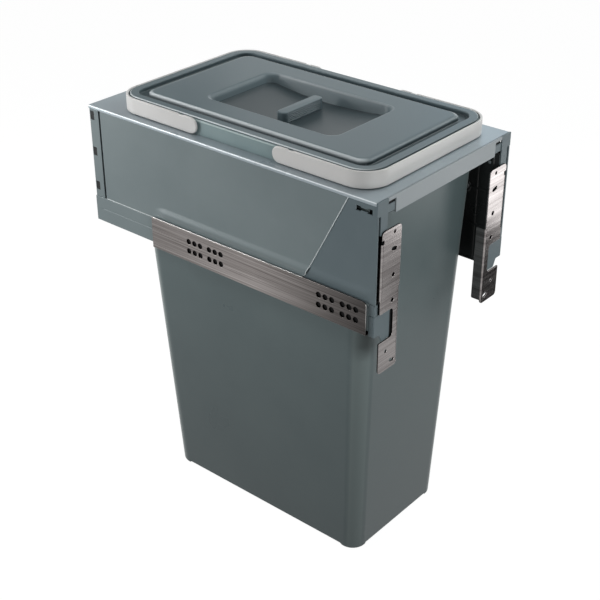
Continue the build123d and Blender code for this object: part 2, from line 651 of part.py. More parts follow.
def middle_rail():
    """Middle rail: a downward channel whose lips hook under the cabinet rail's track."""
    y0 = front + MIDDLE_SETBACK
    y1 = y0 + MIDDLE_LENGTH
    low = middle_top - MIDDLE_DEPTH
    rail = block(hollow_mid - middle_half, hollow_mid + middle_half, y0, y1,
                 middle_top - MIDDLE_SHEET, middle_top)
    lip_end = head_half - LIP_LAP
    for side in (-1, 1):
        leg = sorted((hollow_mid + side * middle_half, hollow_mid + side * (middle_half - MIDDLE_SHEET)))
        rail += block(*leg, y0, y1, low, middle_top)
        lip = sorted((hollow_mid + side * middle_half, hollow_mid + side * lip_end))
        rail += block(*lip, y0, y1, low, low + MIDDLE_SHEET)
    return rail


def cage_half():
    """Half width of a roller cage, between the middle rail's legs."""
    return middle_half - MIDDLE_SHEET - CAGE_SIDE_CLEAR


def roller_places(setback):
    """Y of the rollers in a cage whose front end lies this far behind the front face."""
    return [front + setback + CAGE_BORDER + step * ROLLER_PITCH for step in range(ROLLER_COUNT)]


def roller_cage(setback, axis_z):
    """Flat cage with a window for each roller."""
    y0 = front + setback
    y1 = y0 + 2 * CAGE_BORDER + (ROLLER_COUNT - 1) * ROLLER_PITCH
    half = cage_half()
    cage = block(hollow_mid - half, hollow_mid + half, y0, y1,
                 axis_z - CAGE_THICKNESS / 2, axis_z + CAGE_THICKNESS / 2)
    window_x = half - ROLLER_END_CLEAR
    window_y = ROLLER_RADIUS + CAGE_CLEAR
    for y in roller_places(setback):
        cage -= block(hollow_mid - window_x, hollow_mid + window_x, y - window_y, y + window_y,
                      axis_z - CAGE_THICKNESS, axis_z + CAGE_THICKNESS)
    return cage


def rollers(setback, axis_z):
    """The steel rollers of one cage."""
    half = cage_half() - ROLLER_END_CLEAR - CAGE_CLEAR
    return Compound([bar_x(hollow_mid - half, hollow_mid + half, y, axis_z, ROLLER_RADIUS)
                     for y in roller_places(setback)])


def damper_mid():
    """X of the damper, between the track's stem and the runner's outer leg."""
    return (hollow_mid + RAIL_SHEET / 2 + skin - SHEET) / 2


def damper_axis():
    """Z of the damper's axis."""
    return rail_low + RAIL_SHEET + DAMPER_RISE


def damper_tip():
    """Y of the bumper's front face."""
    return front + DAMPER_SETBACK - DAMPER_STROKE - DAMPER_BUMPER


def damper_body():
    """Damper cylinder with its foot on the cabinet rail's bottom flange."""
    y0 = front + DAMPER_SETBACK
    y1 = y0 + DAMPER_LENGTH
    x, z = damper_mid(), damper_axis()
    body = bar_y(x, y0, y1, z, DAMPER_RADIUS)
    body += block(x - DAMPER_RADIUS, x + DAMPER_RADIUS, y0, y1, rail_low + RAIL_SHEET, z)
    return body - bar_y(x, y0 - PAST, y1 - DAMPER_RADIUS, z, DAMPER_ROD_RADIUS + DAMPER_BORE_CLEAR)


def damper_rod():
    """Damper's piston rod and rubber bumper, pressed in as they are with the drawer shut."""
    x, z = damper_mid(), damper_axis()
    tip = damper_tip()
    rod = bar_y(x, tip, front + DAMPER_SETBACK + DAMPER_LENGTH - 2 * DAMPER_RADIUS, z, DAMPER_ROD_RADIUS)
    return rod + bar_y(x, tip, tip + DAMPER_BUMPER, z, DAMPER_RADIUS - BOSS_CLEAR)


def bin_loft(inset, low, round_low, round_top):
    """The bin's tapered body, drawn in by a wall inset, from z = low up to the tray top."""
    share = (tray_top - low) / BIN_DEPTH
    half_x = wall_half_x - BIN_INSET_SIDE * share - inset
    y0 = bin_mid - wall_half_y + BIN_INSET_FRONT * share + inset
    y1 = bin_mid + wall_half_y - BIN_INSET_REAR * share - inset
    foot = Plane((0, (y0 + y1) / 2, low)) * RectangleRounded(2 * half_x, y1 - y0, round_low)
    mouth = Plane((0, bin_mid, tray_top)) * RectangleRounded(
        2 * (wall_half_x - inset), 2 * (wall_half_y - inset), round_top)
    return loft([foot, mouth], ruled=True)


def bin_body():
    """Tapered bin with four feet and a turned-over rim that hangs on the tray."""
    body = bin_loft(0, 0, BIN_ROUND_LOW, BIN_ROUND_TOP)
    body = fillet(body.faces().sort_by(Axis.Z)[0].edges(), BIN_EDGE) - feet_gap()
    body += slab(rim_half_x, rim_half_y, rim_round, tray_top, rim_top)
    body -= bin_loft(BIN_WALL, FOOT_HEIGHT + BIN_FLOOR, BIN_ROUND_LOW - BIN_WALL, BIN_ROUND_TOP - BIN_WALL)
    body -= slab(wall_half_x - BIN_WALL, wall_half_y - BIN_WALL, BIN_ROUND_TOP - BIN_WALL,
                 tray_top, rim_top + RIM_WALL)
    gutter = slab(rim_half_x - RIM_WALL, rim_half_y - RIM_WALL, rim_round - RIM_WALL,
                  tray_top, rim_top - RIM_WALL)
    gutter -= slab(wall_half_x, wall_half_y, BIN_ROUND_TOP, tray_top, rim_top)
    body -= gutter
    for y in bail_pivots():
        for side in (-1, 1):
            ends = sorted((side * (rim_half_x + PAST), side * (rim_half_x - RIM_WALL - STRAP_GAP / 2)))
            body -= bar_x(*ends, y, bail_axis_z, BAIL_STUD_RADIUS + BAIL_STUD_CLEAR)
    return body


def feet_gap():
    """The low cross-shaped space under the bin that leaves its four corners standing as feet."""
    half_x = wall_half_x - BIN_INSET_SIDE
    y0 = bin_mid - wall_half_y + BIN_INSET_FRONT
    y1 = bin_mid + wall_half_y - BIN_INSET_REAR
    gap = block(FOOT_REACH - half_x, half_x - FOOT_REACH, y0 - FOOT_REACH, y1 + FOOT_REACH,
                -PAST, FOOT_HEIGHT)
    return gap + block(-half_x - FOOT_REACH, half_x + FOOT_REACH, y0 + FOOT_REACH, y1 - FOOT_REACH,
                       -PAST, FOOT_HEIGHT)


def bail_pivots():
    """Y of the front and the rear bail's pivots."""
    return bin_mid - BAIL_PIVOT_SPREAD / 2, bin_mid + BAIL_PIVOT_SPREAD / 2


def bail(side):
    """One U-shaped bail strap with its two pivot studs: side -1 is the front one, +1 the rear one."""
    z0 = tray_top + STRAP_RISE
    z1 = z0 + STRAP_HEIGHT
    gap = rim_half_x + STRAP_GAP
    strap = slab(gap + STRAP, rim_half_y + STRAP_GAP + STRAP, rim_round + STRAP_GAP + STRAP, z0, z1)
    strap -= slab(gap, rim_half_y + STRAP_GAP, rim_round + STRAP_GAP, z0 - PAST, z1 + PAST)
    pivot = bin_mid + side * BAIL_PIVOT_SPREAD / 2
    reach = sorted((pivot, bin_mid + side * 2 * rim_half_y))
    keep = block(-2 * gap, 2 * gap, *reach, z0 - PAST, z1 + PAST)
    keep += bar_x(-2 * gap, 2 * gap, pivot, bail_axis_z, STRAP_HEIGHT / 2)
    strap &= keep
    nick_y = pivot + side * BAIL_NICK_OFFSET
    strap -= Pos(0, nick_y, z1) * Box(4 * gap, BAIL_NICK_LENGTH, 2 * BAIL_NICK_DEPTH)
    for end in (-1, 1):
        stud = sorted((end * (gap + STRAP / 2), end * (rim_half_x - RIM_WALL)))
        strap += bar_x(*stud, pivot, bail_axis_z, BAIL_STUD_RADIUS)
    return strap


def lid_slab(inset, radius, z0, z1):
    """A layer of the lid, its edge this far inside the lid's own edge."""
    return slab(rim_half_x - LID_INSET - inset, rim_half_y - LID_INSET - inset, radius, z0, z1)


def well_loft(grow, low):
    """The hand-well's space, grown by a wall, from the plateau's top down to low."""
    half_x = rim_half_x - LID_INSET - LID_FLANGE_WIDTH - GROOVE_WIDTH - WELL_MARGIN_SIDE + grow
    half_y = rim_half_y - LID_INSET - LID_FLANGE_WIDTH - GROOVE_WIDTH - WELL_MARGIN_END + grow
    draft = WELL_DRAFT * (plateau_top - low) / WELL_DEPTH_MIDDLE
    mouth = Plane((0, bin_mid, plateau_top)) * RectangleRounded(2 * half_x, 2 * half_y, WELL_ROUND + grow)
    floor = Plane((0, bin_mid, low)) * RectangleRounded(
        2 * (half_x - draft), 2 * (half_y - draft), WELL_ROUND + grow - draft)
    sag = WELL_DEPTH_MIDDLE - WELL_DEPTH_END
    radius = (half_y ** 2 + sag ** 2) / (2 * sag)
    dish = bar_x(-2 * half_x, 2 * half_x, bin_mid, plateau_top - WELL_DEPTH_MIDDLE - grow + radius, radius)
    return loft([mouth, floor], ruled=True) & dish


def lid():
    """Lid: flat flange on the rim, a groove round a raised plateau, and a dished hand-well with a grip."""
    corner = rim_round - LID_INSET
    groove_low = lid_top - GROOVE_DEPTH
    plug_low = groove_low - LID_SHELL
    plug_inset = LID_FLANGE_WIDTH - LID_SHELL
    plateau_inset = LID_FLANGE_WIDTH + GROOVE_WIDTH
    flange = lid_slab(0, corner, rim_top, lid_top)
    flange = fillet(flange.faces().sort_by(Axis.Z)[-1].edges(), LID_EDGE)
    plug = lid_slab(plug_inset, corner - plug_inset, plug_low, lid_top)
    groove = lid_slab(LID_FLANGE_WIDTH, corner - LID_FLANGE_WIDTH, groove_low, lid_top + PAST)
    plateau = lid_slab(plateau_inset, PLATEAU_ROUND, plug_low, plateau_top)
    plateau = fillet(plateau.faces().sort_by(Axis.Z)[-1].edges(), PLATEAU_EDGE)
    shell = flange + plug - groove + plateau
    shell -= lid_slab(plateau_inset + LID_SHELL, PLATEAU_ROUND - LID_SHELL, plug_low - PAST,
                      plateau_top - LID_SHELL)
    well_low = plateau_top - WELL_DEPTH_MIDDLE
    shell += well_loft(LID_SHELL, well_low - LID_SHELL)
    shell -= well_loft(0, well_low)
    return shell + lid_grip(well_low)


def lid_grip(floor):
    """Rounded grip bar standing across the middle of the hand-well."""
    outline = Plane((0, bin_mid, floor - LID_SHELL / 2)) * RectangleRounded(
        GRIP_LENGTH, GRIP_WIDTH, GRIP_ROUND)
    grip = extrude(outline, plateau_top - GRIP_DROP - floor + LID_SHELL / 2)
    return fillet(grip.faces().sort_by(Axis.Z)[-1].edges(), GRIP_EDGE)


lower_axis = track_top + ROLLER_GAP + ROLLER_RADIUS
upper_axis = middle_top + ROLLER_GAP + ROLLER_RADIUS
paired = {
    "cabinet_rail": cabinet_rail(),
    "damper_body": damper_body(),
    "damper_rod": damper_rod(),
    "middle_rail": middle_rail(),
    "lower_roller_cage": roller_cage(LOWER_CAGE_SETBACK, lower_axis),
    "lower_rollers": rollers(LOWER_CAGE_SETBACK, lower_axis),
    "upper_roller_cage": roller_cage(UPPER_CAGE_SETBACK, upper_axis),
    "upper_rollers": rollers(UPPER_CAGE_SETBACK, upper_axis),
    "runner": runner(),
    "runner_end_cap": runner_end_cap(),
    "side_panel": side_panel(),
    "inner_panel": inner_panel(),
    "front_cover": front_cover(),
    "rear_bracket": rear_bracket(),
    "corner_cap": corner_cap(),
    "coupling_housing": coupling_housing(),
    "latch_pin": latch_pin(),
    "latch_lever": latch_lever(),
    "door_bracket": door_bracket(),
}
single = {
    "top_tray": tray(),
    "tray_screws": tray_screws(),
    "adjuster_screws": adjuster_screws(),
    "front_cross_rail": cross_rail(),
    "back_panel": back_panel(),
    "waste_bin": bin_body(),
    "front_bail": bail(-1),
    "rear_bail": bail(1),
    "lid": lid(),
}

os.makedirs("parts", exist_ok=True)
for name, part in paired.items():
    export_step(part, f"parts/right_{name}.step")
    export_step(left_of(part), f"parts/left_{name}.step")
for name, part in single.items():
    export_step(part, f"parts/{name}.step")
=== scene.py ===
import json
import math

import bmesh
import bpy
import numpy as np
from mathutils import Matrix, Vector
from mathutils.geometry import delaunay_2d_cdt

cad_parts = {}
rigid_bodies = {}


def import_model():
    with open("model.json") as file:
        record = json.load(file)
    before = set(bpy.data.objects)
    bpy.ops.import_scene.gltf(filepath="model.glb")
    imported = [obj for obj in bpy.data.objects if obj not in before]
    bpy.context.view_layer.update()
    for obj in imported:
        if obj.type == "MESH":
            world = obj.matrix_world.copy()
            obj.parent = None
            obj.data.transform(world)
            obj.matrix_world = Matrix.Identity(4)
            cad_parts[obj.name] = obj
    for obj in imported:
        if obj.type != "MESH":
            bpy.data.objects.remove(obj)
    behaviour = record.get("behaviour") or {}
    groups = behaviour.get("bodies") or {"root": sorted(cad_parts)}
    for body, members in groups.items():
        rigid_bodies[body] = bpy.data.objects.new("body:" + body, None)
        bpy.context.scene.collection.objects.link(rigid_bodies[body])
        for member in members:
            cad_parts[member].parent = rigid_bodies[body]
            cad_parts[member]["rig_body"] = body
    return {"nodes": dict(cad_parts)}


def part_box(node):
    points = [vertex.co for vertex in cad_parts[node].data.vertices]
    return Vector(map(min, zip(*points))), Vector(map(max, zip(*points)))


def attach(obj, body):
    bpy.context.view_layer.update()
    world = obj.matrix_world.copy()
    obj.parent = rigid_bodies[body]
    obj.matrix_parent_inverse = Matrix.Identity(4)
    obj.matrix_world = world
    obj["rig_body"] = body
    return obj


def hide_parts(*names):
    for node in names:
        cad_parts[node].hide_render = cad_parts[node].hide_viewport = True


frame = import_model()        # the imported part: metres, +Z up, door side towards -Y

mm = 0.001
weldGap = 0.002 * mm     # points nearer than this are merged
hair = 0.01              # play in comparisons, in millimetres
scene = bpy.context.scene
nodes = frame["nodes"]
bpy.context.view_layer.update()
sides = {"left": -1, "right": 1}


def span(node):
    # lowest and highest corner of a node, in millimetres
    low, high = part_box(node)
    return np.array(low) / mm, np.array(high) / mm


# Camera at the photograph's angle
cameraView = {
    "place": (-1.06559, -0.90531, 1.06914),
    "azimuth": -49.909,       # degrees, 0 looks along +Y
    "elevation": 29.633,
    "lens": 73.56, "sensor": 36.0,      # millimetres
}


def setCamera(view):
    data = bpy.data.cameras.new("photoCamera")
    data.lens = view["lens"]
    data.sensor_width = view["sensor"]
    camera = bpy.data.objects.new("photoCamera", data)
    camera.location = view["place"]
    tilt = math.pi / 2 - math.radians(view["elevation"])
    camera.rotation_euler = (tilt, 0, math.radians(view["azimuth"]))
    scene.collection.objects.link(camera)
    scene.camera = camera


setCamera(cameraView)
scene.view_settings.view_transform = "Standard"
print("camera set")


# Small helpers for node trees
def put(tree, kind, inputs=None, **settings):
    node = tree.nodes.new(kind)
    for key, value in settings.items():
        setattr(node, key, value)
    for key, value in (inputs or {}).items():
        if isinstance(value, bpy.types.NodeSocket):
            tree.links.new(value, node.inputs[key])
        else:
            node.inputs[key].default_value = value
    return node


def newGroup(name, inputs, outputs):
    group = bpy.data.node_groups.new(name, "ShaderNodeTree")
    for label, kind, value in inputs:
        socket = group.interface.new_socket(label, in_out="INPUT", socket_type="NodeSocket" + kind)
        socket.default_value = value
    for label, kind in outputs:
        group.interface.new_socket(label, in_out="OUTPUT", socket_type="NodeSocket" + kind)
    return group, group.nodes.new("NodeGroupInput"), group.nodes.new("NodeGroupOutput")


def calc(tree, operation, *values):
    # result of one Math node
    return put(tree, "ShaderNodeMath", dict(enumerate(values)), operation=operation).outputs[0]


def ramp(tree, value, low, high, first=0.0, second=1.0):
    # low to high becomes first to second, and beyond them the end values hold
    return put(tree, "ShaderNodeMapRange", {"Value": value, "From Min": low, "From Max": high,
               "To Min": first, "To Max": second}).outputs[0]


def dim(tree, colour, factor):
    # colour times a brightness
    return put(tree, "ShaderNodeVectorMath", {0: colour, "Scale": factor}, operation="SCALE").outputs[0]


def readMark(tree, name):
    # a value that the piece's mesh carries at its points
    return put(tree, "ShaderNodeAttribute", attribute_name=name).outputs["Fac"]


def makeGrainGroup():
    # fine moulded or sprayed grain: two noises for the height, one broad cloud for the tone
    group, entry, leave = newGroup(
        "surfaceGrain",
        [("Vector", "Vector", (0, 0, 0)), ("Grain", "Float", 900.0), ("Cloud", "Float", 9.0)],
        [("Height", "Float"), ("Tone", "Float")])
    coarseShare = 0.31               # scale of the second noise beside the first
    place, grain = entry.outputs["Vector"], entry.outputs["Grain"]
    fine = put(group, "ShaderNodeTexNoise", {"Vector": place, "Scale": grain, "Detail": 3.0,
               "Roughness": 0.6})
    coarse = put(group, "ShaderNodeTexNoise", {"Vector": place, "Detail": 1.0,
                 "Scale": calc(group, "MULTIPLY", grain, coarseShare)})
    cloud = put(group, "ShaderNodeTexNoise", {"Vector": place, "Scale": entry.outputs["Cloud"],
                "Detail": 4.0, "Roughness": 0.55})
    group.links.new(calc(group, "ADD", fine.outputs[0], coarse.outputs[0]), leave.inputs["Height"])
    group.links.new(cloud.outputs[0], leave.inputs["Tone"])
    return group


def makeBrushGroup():
    # long brushed lines: noise stretched by the Stretch scale, in a broad and a hairline size
    group, entry, leave = newGroup(
        "brushLines",
        [("Vector", "Vector", (0, 0, 0)), ("Stretch", "Vector", (1, 1, 1)), ("Broad", "Float", 0.25)],
        [("Hairline", "Float"), ("Streak", "Float")])
    long = put(group, "ShaderNodeVectorMath", {0: entry.outputs["Vector"], 1: entry.outputs["Stretch"]},
               operation="MULTIPLY")
    hairline = put(group, "ShaderNodeTexNoise", {"Vector": long.outputs[0], "Scale": 1.0, "Detail": 4.0,
                   "Roughness": 0.7})
    streak = put(group, "ShaderNodeTexNoise", {"Vector": long.outputs[0], "Scale": entry.outputs["Broad"],
                 "Detail": 3.0, "Roughness": 0.6})
    group.links.new(hairline.outputs[0], leave.inputs["Hairline"])
    group.links.new(streak.outputs[0], leave.inputs["Streak"])
    return group


surfaceGrain = makeGrainGroup()
brushLines = makeBrushGroup()


def newLook(name):
    look = bpy.data.materials.new(name)
    look.use_nodes = True
    tree = look.node_tree
    surface = tree.nodes["Principled BSDF"]
    place = tree.nodes.new("ShaderNodeTexCoord").outputs["Object"]
    return look, tree, surface, place


def mixColour(tree, share, first, second):
    # each colour is a socket or a plain triple; a colour Mix has them as inputs 6 and 7
    first, second = (colour if isinstance(colour, bpy.types.NodeSocket) else (*colour, 1.0)
                     for colour in (first, second))
    return put(tree, "ShaderNodeMix", {0: share, 6: first, 7: second}, data_type="RGBA").outputs[2]


noiseRange = (0.3, 0.7)      # where most of a noise lies


def rescale(tree, value, low, high):
    return ramp(tree, value, *noiseRange, low, high)


def wire(tree, surface, colour, rough, height, values):
    # what changes over the surface is linked to the shader; values gives the bump and the metal
    tree.links.new(colour, surface.inputs["Base Color"])
    tree.links.new(rough, surface.inputs["Roughness"])
    bump = put(tree, "ShaderNodeBump", {"Height": height, "Distance": values["depth"],
               "Strength": values["strength"]})
    tree.links.new(bump.outputs[0], surface.inputs["Normal"])
    surface.inputs["Metallic"].default_value = values["metal"]


# Coated and moulded finishes: colour pair, roughness pair, grain per metre, bump depth in metres
# gloss is the specular level; the third colour, where given, is a painted highlight on edges
# painted light and shade: pairs of place along the named axis in metres and brightness there
# painted shade in the lid's hollows: places and sizes in metres, then how dark the hand-well's floor and the
# groove are painted
plainCoat = {"metal": 0.0, "gloss": 0.22, "strength": 0.6}
coatFinish = {
    # the panel's painted highlight: bright lines along its slanted front edge and its foot
    "coatedSteel": {"dark": (0.168, 0.205, 0.214), "light": (0.194, 0.232, 0.240), "bare": (0.72, 0.76, 0.77),
                    "rough": (0.30, 0.38), "grain": 700.0, "depth": 0.00003},
    # the tray's painted highlight: a bright line on the rolled lip
    "traySteel": {"dark": (0.325, 0.376, 0.408), "light": (0.372, 0.424, 0.458), "bare": (0.88, 0.92, 0.94),
                  "rough": (0.26, 0.33), "grain": 1100.0, "depth": 0.00002, "metal": 0.15, "gloss": 0.45},
    "coverPlastic": {"dark": (0.112, 0.146, 0.161), "light": (0.130, 0.164, 0.178),
                     "rough": (0.36, 0.46), "grain": 900.0, "depth": 0.00004},
    "railPlastic": {"dark": (0.293, 0.322, 0.339), "light": (0.325, 0.355, 0.371),
                    "rough": (0.30, 0.40), "grain": 900.0, "depth": 0.00004},
    # the bin: painted shade darker towards the foot, painted light on the rim, painted highlight on corners
    # and the rim's edge
    "binPlastic": {"dark": (0.104, 0.138, 0.143), "light": (0.120, 0.155, 0.159),
                   "bare": (0.190, 0.232, 0.232), "rough": (0.27, 0.35), "grain": 1200.0, "depth": 0.00004,
                   "paintedLightAxis": "Z",
                   "tones": [(0.0, 0.58), (0.20, 0.74), (0.42, 1.02), (0.522, 1.12), (0.529, 1.95)]},
    # the lid: painted highlight on its long edges, painted shade in the well and the groove
    "lidPlastic": {"dark": (0.104, 0.140, 0.156), "light": (0.119, 0.156, 0.171), "bare": (0.66, 0.70, 0.72),
                   "rough": (0.28, 0.36), "grain": 1200.0, "depth": 0.00003,
                   "hollow": {"middle": -0.0084, "dishRadius": 0.6993, "dishLow": 0.532,
                              "dishFade": (0.0003, 0.0007), "wellHalf": 0.0996, "floor": 0.45,
                              "middleHalfX": 0.0895, "middleHalfY": 0.168,
                              "grooveLow": 0.5442, "grooveTop": 0.5480, "groove": 0.60}},
    "bailPlastic": {"dark": (0.60, 0.582, 0.570), "light": (0.66, 0.640, 0.628),
                    "rough": (0.30, 0.40), "grain": 1000.0, "depth": 0.00003, "gloss": 0.4},
    "housingPlastic": {"dark": (0.013, 0.0135, 0.014), "light": (0.024, 0.025, 0.0255),
                       "rough": (0.26, 0.36), "grain": 800.0, "depth": 0.00005, "gloss": 0.5},
    "blackPlastic": {"dark": (0.006, 0.007, 0.0075), "light": (0.011, 0.012, 0.0125),
                     "rough": (0.40, 0.55), "grain": 800.0, "depth": 0.00006, "gloss": 0.15},
}


def paintLightByPlace(tree, place, colour, tones, axis):
    # painted light and shade: brightness that follows the place along an axis through the listed pairs
    along = put(tree, "ShaderNodeSeparateXYZ", {0: place}).outputs[axis]
    factor = tones[0][1]
    for (low, first), (high, second) in zip(tones[:-1], tones[1:]):
        factor = calc(tree, "MULTIPLY", factor, ramp(tree, along, low, high, 1.0, second / first))
    return dim(tree, colour, factor)


def hollowTone(tree, place, colour, zones):
    # painted shade on the dished floor of the hand-well and down in the groove round the raised middle
    x, y, z = put(tree, "ShaderNodeSeparateXYZ", {0: place}).outputs
    along = calc(tree, "ADD", y, -zones["middle"])
    far = calc(tree, "ABSOLUTE", along)
    bowl = calc(tree, "MULTIPLY", calc(tree, "MULTIPLY", along, along), 0.5 / zones["dishRadius"])
    above = calc(tree, "SUBTRACT", z, bowl)              # height over the dish, taken as a parabola
    fadeLow, fadeTop = (zones["dishLow"] + step for step in zones["dishFade"])
    low = ramp(tree, above, fadeLow, fadeTop, zones["floor"], 1.0)
    near = calc(tree, "LESS_THAN", far, zones["wellHalf"])
    well = ramp(tree, near, 0.0, 1.0, 1.0, low)
    pastSide = calc(tree, "GREATER_THAN", calc(tree, "ABSOLUTE", x), zones["middleHalfX"])
    pastEnd = calc(tree, "GREATER_THAN", far, zones["middleHalfY"])
    deep = ramp(tree, z, zones["grooveLow"], zones["grooveTop"], zones["groove"], 1.0)
    groove = ramp(tree, calc(tree, "MAXIMUM", pastSide, pastEnd), 0.0, 1.0, 1.0, deep)
    return dim(tree, colour, calc(tree, "MULTIPLY", well, groove))


def coatLook(name):
    values = plainCoat | coatFinish[name]
    look, tree, surface, place = newLook(name)
    grain = put(tree, "ShaderNodeGroup", {"Vector": place, "Grain": values["grain"]}, node_tree=surfaceGrain)
    tone = grain.outputs["Tone"]
    colour = mixColour(tree, rescale(tree, tone, 0.0, 1.0), values["dark"], values["light"])
    # painted shade in the lid's well and groove
    if "hollow" in values:
        colour = hollowTone(tree, place, colour, values["hollow"])
    # painted highlight on edges that catch the light
    if "bare" in values:
        colour = mixColour(tree, readMark(tree, "bareEdge"), colour, values["bare"])
    # painted light and shade along one axis
    if "tones" in values:
        colour = paintLightByPlace(tree, place, colour, values["tones"], values["paintedLightAxis"])
    wire(tree, surface, colour, rescale(tree, tone, *values["rough"]), grain.outputs["Height"], values)
    surface.inputs["Specular IOR Level"].default_value = values["gloss"]
    return look


# Brushed steel: the lines run along one axis, so the other axes have the finer scale
# contrast: the sums of both noises that give the dark and the light; the near-black colour is painted shade
# on the walls of the holes
plainBrush = {"metal": 1.0, "depth": 0.00003, "strength": 0.5, "anisotropy": 0.45, "contrast": (0.72, 1.28),
              "paintedHoleShade": (0.006, 0.006, 0.006)}
brushFinish = {
    # the rail: painted highlight on cut edges, painted reflection darkest towards the front end
    "railSteel": {"dark": (0.100, 0.088, 0.083), "light": (0.330, 0.305, 0.296), "bare": (0.80, 0.78, 0.76),
                  "rough": (0.24, 0.42), "stretch": (700.0, 6.0, 700.0), "broad": 0.30, "paintedLightAxis": "Y",
                  "tones": [(-0.21, 0.25), (-0.17, 0.40), (-0.11, 0.75), (-0.05, 1.05), (0.0, 1.0),
                            (0.11, 0.78)]},
    # the bracket: painted reflection, brighter towards the top
    "bracketSteel": {"dark": (0.155, 0.140, 0.137), "light": (0.375, 0.351, 0.346),
                     "rough": (0.14, 0.26), "stretch": (9.0, 9.0, 620.0), "broad": 0.34, "paintedLightAxis": "Z",
                     "tones": [(0.32, 0.76), (0.36, 0.86), (0.42, 1.0), (0.49, 1.05)]},
}


def brushedLook(name):
    values = plainBrush | brushFinish[name]
    look, tree, surface, place = newLook(name)
    lines = put(tree, "ShaderNodeGroup", {"Vector": place, "Stretch": values["stretch"],
                "Broad": values["broad"]}, node_tree=brushLines)
    hairline = lines.outputs["Hairline"]
    share = ramp(tree, calc(tree, "ADD", hairline, lines.outputs["Streak"]), *values["contrast"])
    metal = mixColour(tree, share, values["dark"], values["light"])
    # painted reflection, lighter and darker along one axis
    metal = paintLightByPlace(tree, place, metal, values["tones"], values["paintedLightAxis"])
    # painted highlight on cut edges
    if "bare" in values:
        metal = mixColour(tree, readMark(tree, "bareEdge"), metal, values["bare"])
    # painted shade in the holes
    metal = mixColour(tree, readMark(tree, "paintedHoleShade"), metal, values["paintedHoleShade"])
    wire(tree, surface, metal, rescale(tree, hairline, *values["rough"]), hairline, values)
    surface.inputs["Anisotropic"].default_value = values["anisotropy"]
    return look


# Bright zinc plate: near and far are the colours at the middle and the edge of a crystal
zincFinish = {"near": (0.58, 0.59, 0.60), "far": (0.44, 0.45, 0.47), "rough": (0.24, 0.42), "cells": 420.0,
              "grain": 1500.0, "cloud": 60.0, "depth": 0.00002, "strength": 0.4, "metal": 1.0}


def zincLook(values):
    # pale crystals from a cell pattern over a soft cloud
    look, tree, surface, place = newLook("zincPlate")
    cells = put(tree, "ShaderNodeTexVoronoi", {"Vector": place, "Scale": values["cells"]})
    grain = put(tree, "ShaderNodeGroup", {"Vector": place, "Grain": values["grain"],
                "Cloud": values["cloud"]}, node_tree=surfaceGrain)
    colour = mixColour(tree, cells.outputs["Distance"], values["near"], values["far"])
    rough = rescale(tree, grain.outputs["Tone"], *values["rough"])
    wire(tree, surface, colour, rough, grain.outputs["Height"], values)
    return look


looks = {name: coatLook(name) for name in coatFinish}
looks |= {name: brushedLook(name) for name in brushFinish}
looks["zincPlate"] = zincLook(zincFinish)
print("finishes made:", ", ".join(looks))


# Surfaces as arrays
def smoothStep(value, low, high):
    share = np.clip((value - low) / (high - low), 0, 1)
    return share * share * (3 - 2 * share)


# a straight run over longRun mm gets a point near each end: a share of its length away, but at most so far
holdPoints = {"longRun": 1.5, "most": 0.4, "share": 0.15}


def roundProfile(corners, steps=5):
    # a run of straight lines in the plane whose corners (a, z, radius) become arcs of that radius
    corners = np.array(corners, float)
    points = [corners[:1, :2]]
    for before, here, after in zip(corners[:-2], corners[1:-1], corners[2:]):
        into = (here - before)[:2] / np.linalg.norm((here - before)[:2])
        away = (after - here)[:2] / np.linalg.norm((after - here)[:2])
        turn = math.acos(np.clip(into @ away, -1, 1))
        if here[2] == 0 or turn < 1e-6:
            points.append(here[None, :2])
            continue
        reach = here[2] * math.tan(turn / 2)
        middle = here[:2] + (away - into) / np.linalg.norm(away - into) * here[2] / math.cos(turn / 2)
        share = np.linspace(0, 1, steps)[:, None]
        start, end = here[:2] - into * reach - middle, here[:2] + away * reach - middle
        arc = start * np.sin((1 - share) * turn) + end * np.sin(share * turn)
        points.append(middle + arc / math.sin(turn))
    points.append(corners[-1:, :2])
    held = [points[0]]
    for before, after in zip(points[:-1], points[1:]):
        gap = after[0] - before[-1]          # a straight run: keep it flat with a point near each end
        length = np.linalg.norm(gap)
        if length > holdPoints["longRun"]:
            near = gap / length * min(holdPoints["most"], holdPoints["share"] * length)
            held.append(np.stack([before[-1] + near, after[0] - near]))
        held.append(after)
    return np.concatenate(held)


def loopPlan(perArc, shares):
    # a closed run round a rounded rectangle, anticlockwise from above: four arcs and four straights
    # columns: share of half width and of radius in x, share of front, rear and radius in y,
    # then how far along its straight a point lies (0 on an arc) and which straight it is on
    turn = np.linspace(0, math.pi / 2, perArc)
    flat = 0 * turn
    arcs = []
    for quarter, (sx, sy) in enumerate([(1, 1), (-1, 1), (-1, -1), (1, -1)]):
        angle = turn + quarter * math.pi / 2
        arcs.append(np.stack([flat + sx, np.cos(angle) - sx, flat + (sy < 0), flat + (sy > 0),
                              np.sin(angle) - sy, flat, flat + quarter], axis=1))
    runs = []
    for quarter, arc in enumerate(arcs):
        after = arcs[(quarter + 1) % 4]
        side = arc[-1] + shares[:, None] * (after[0] - arc[-1])
        side[:, 5] = np.minimum(shares, 1 - shares)
        side[:, 6] = quarter
        runs += [arc, side]
    return np.concatenate(runs)


def longSides(plan):
    # 1 where the loop faces sideways, 0 where it faces the front or the rear
    return (plan[:, 0] + plan[:, 1]) ** 2


def ringStack(plan, halfX, front, rear, radius, height):
    # rings one above the other: ring by loop point by xyz
    halfX, front, rear, radius, height = (np.asarray(value, float)[:, None]
                                          for value in (halfX, front, rear, radius, height))
    x = plan[:, 0] * halfX + plan[:, 1] * radius
    y = plan[:, 2] * front + plan[:, 3] * rear + plan[:, 4] * radius
    return np.stack([x, y, height + 0 * x], axis=2)


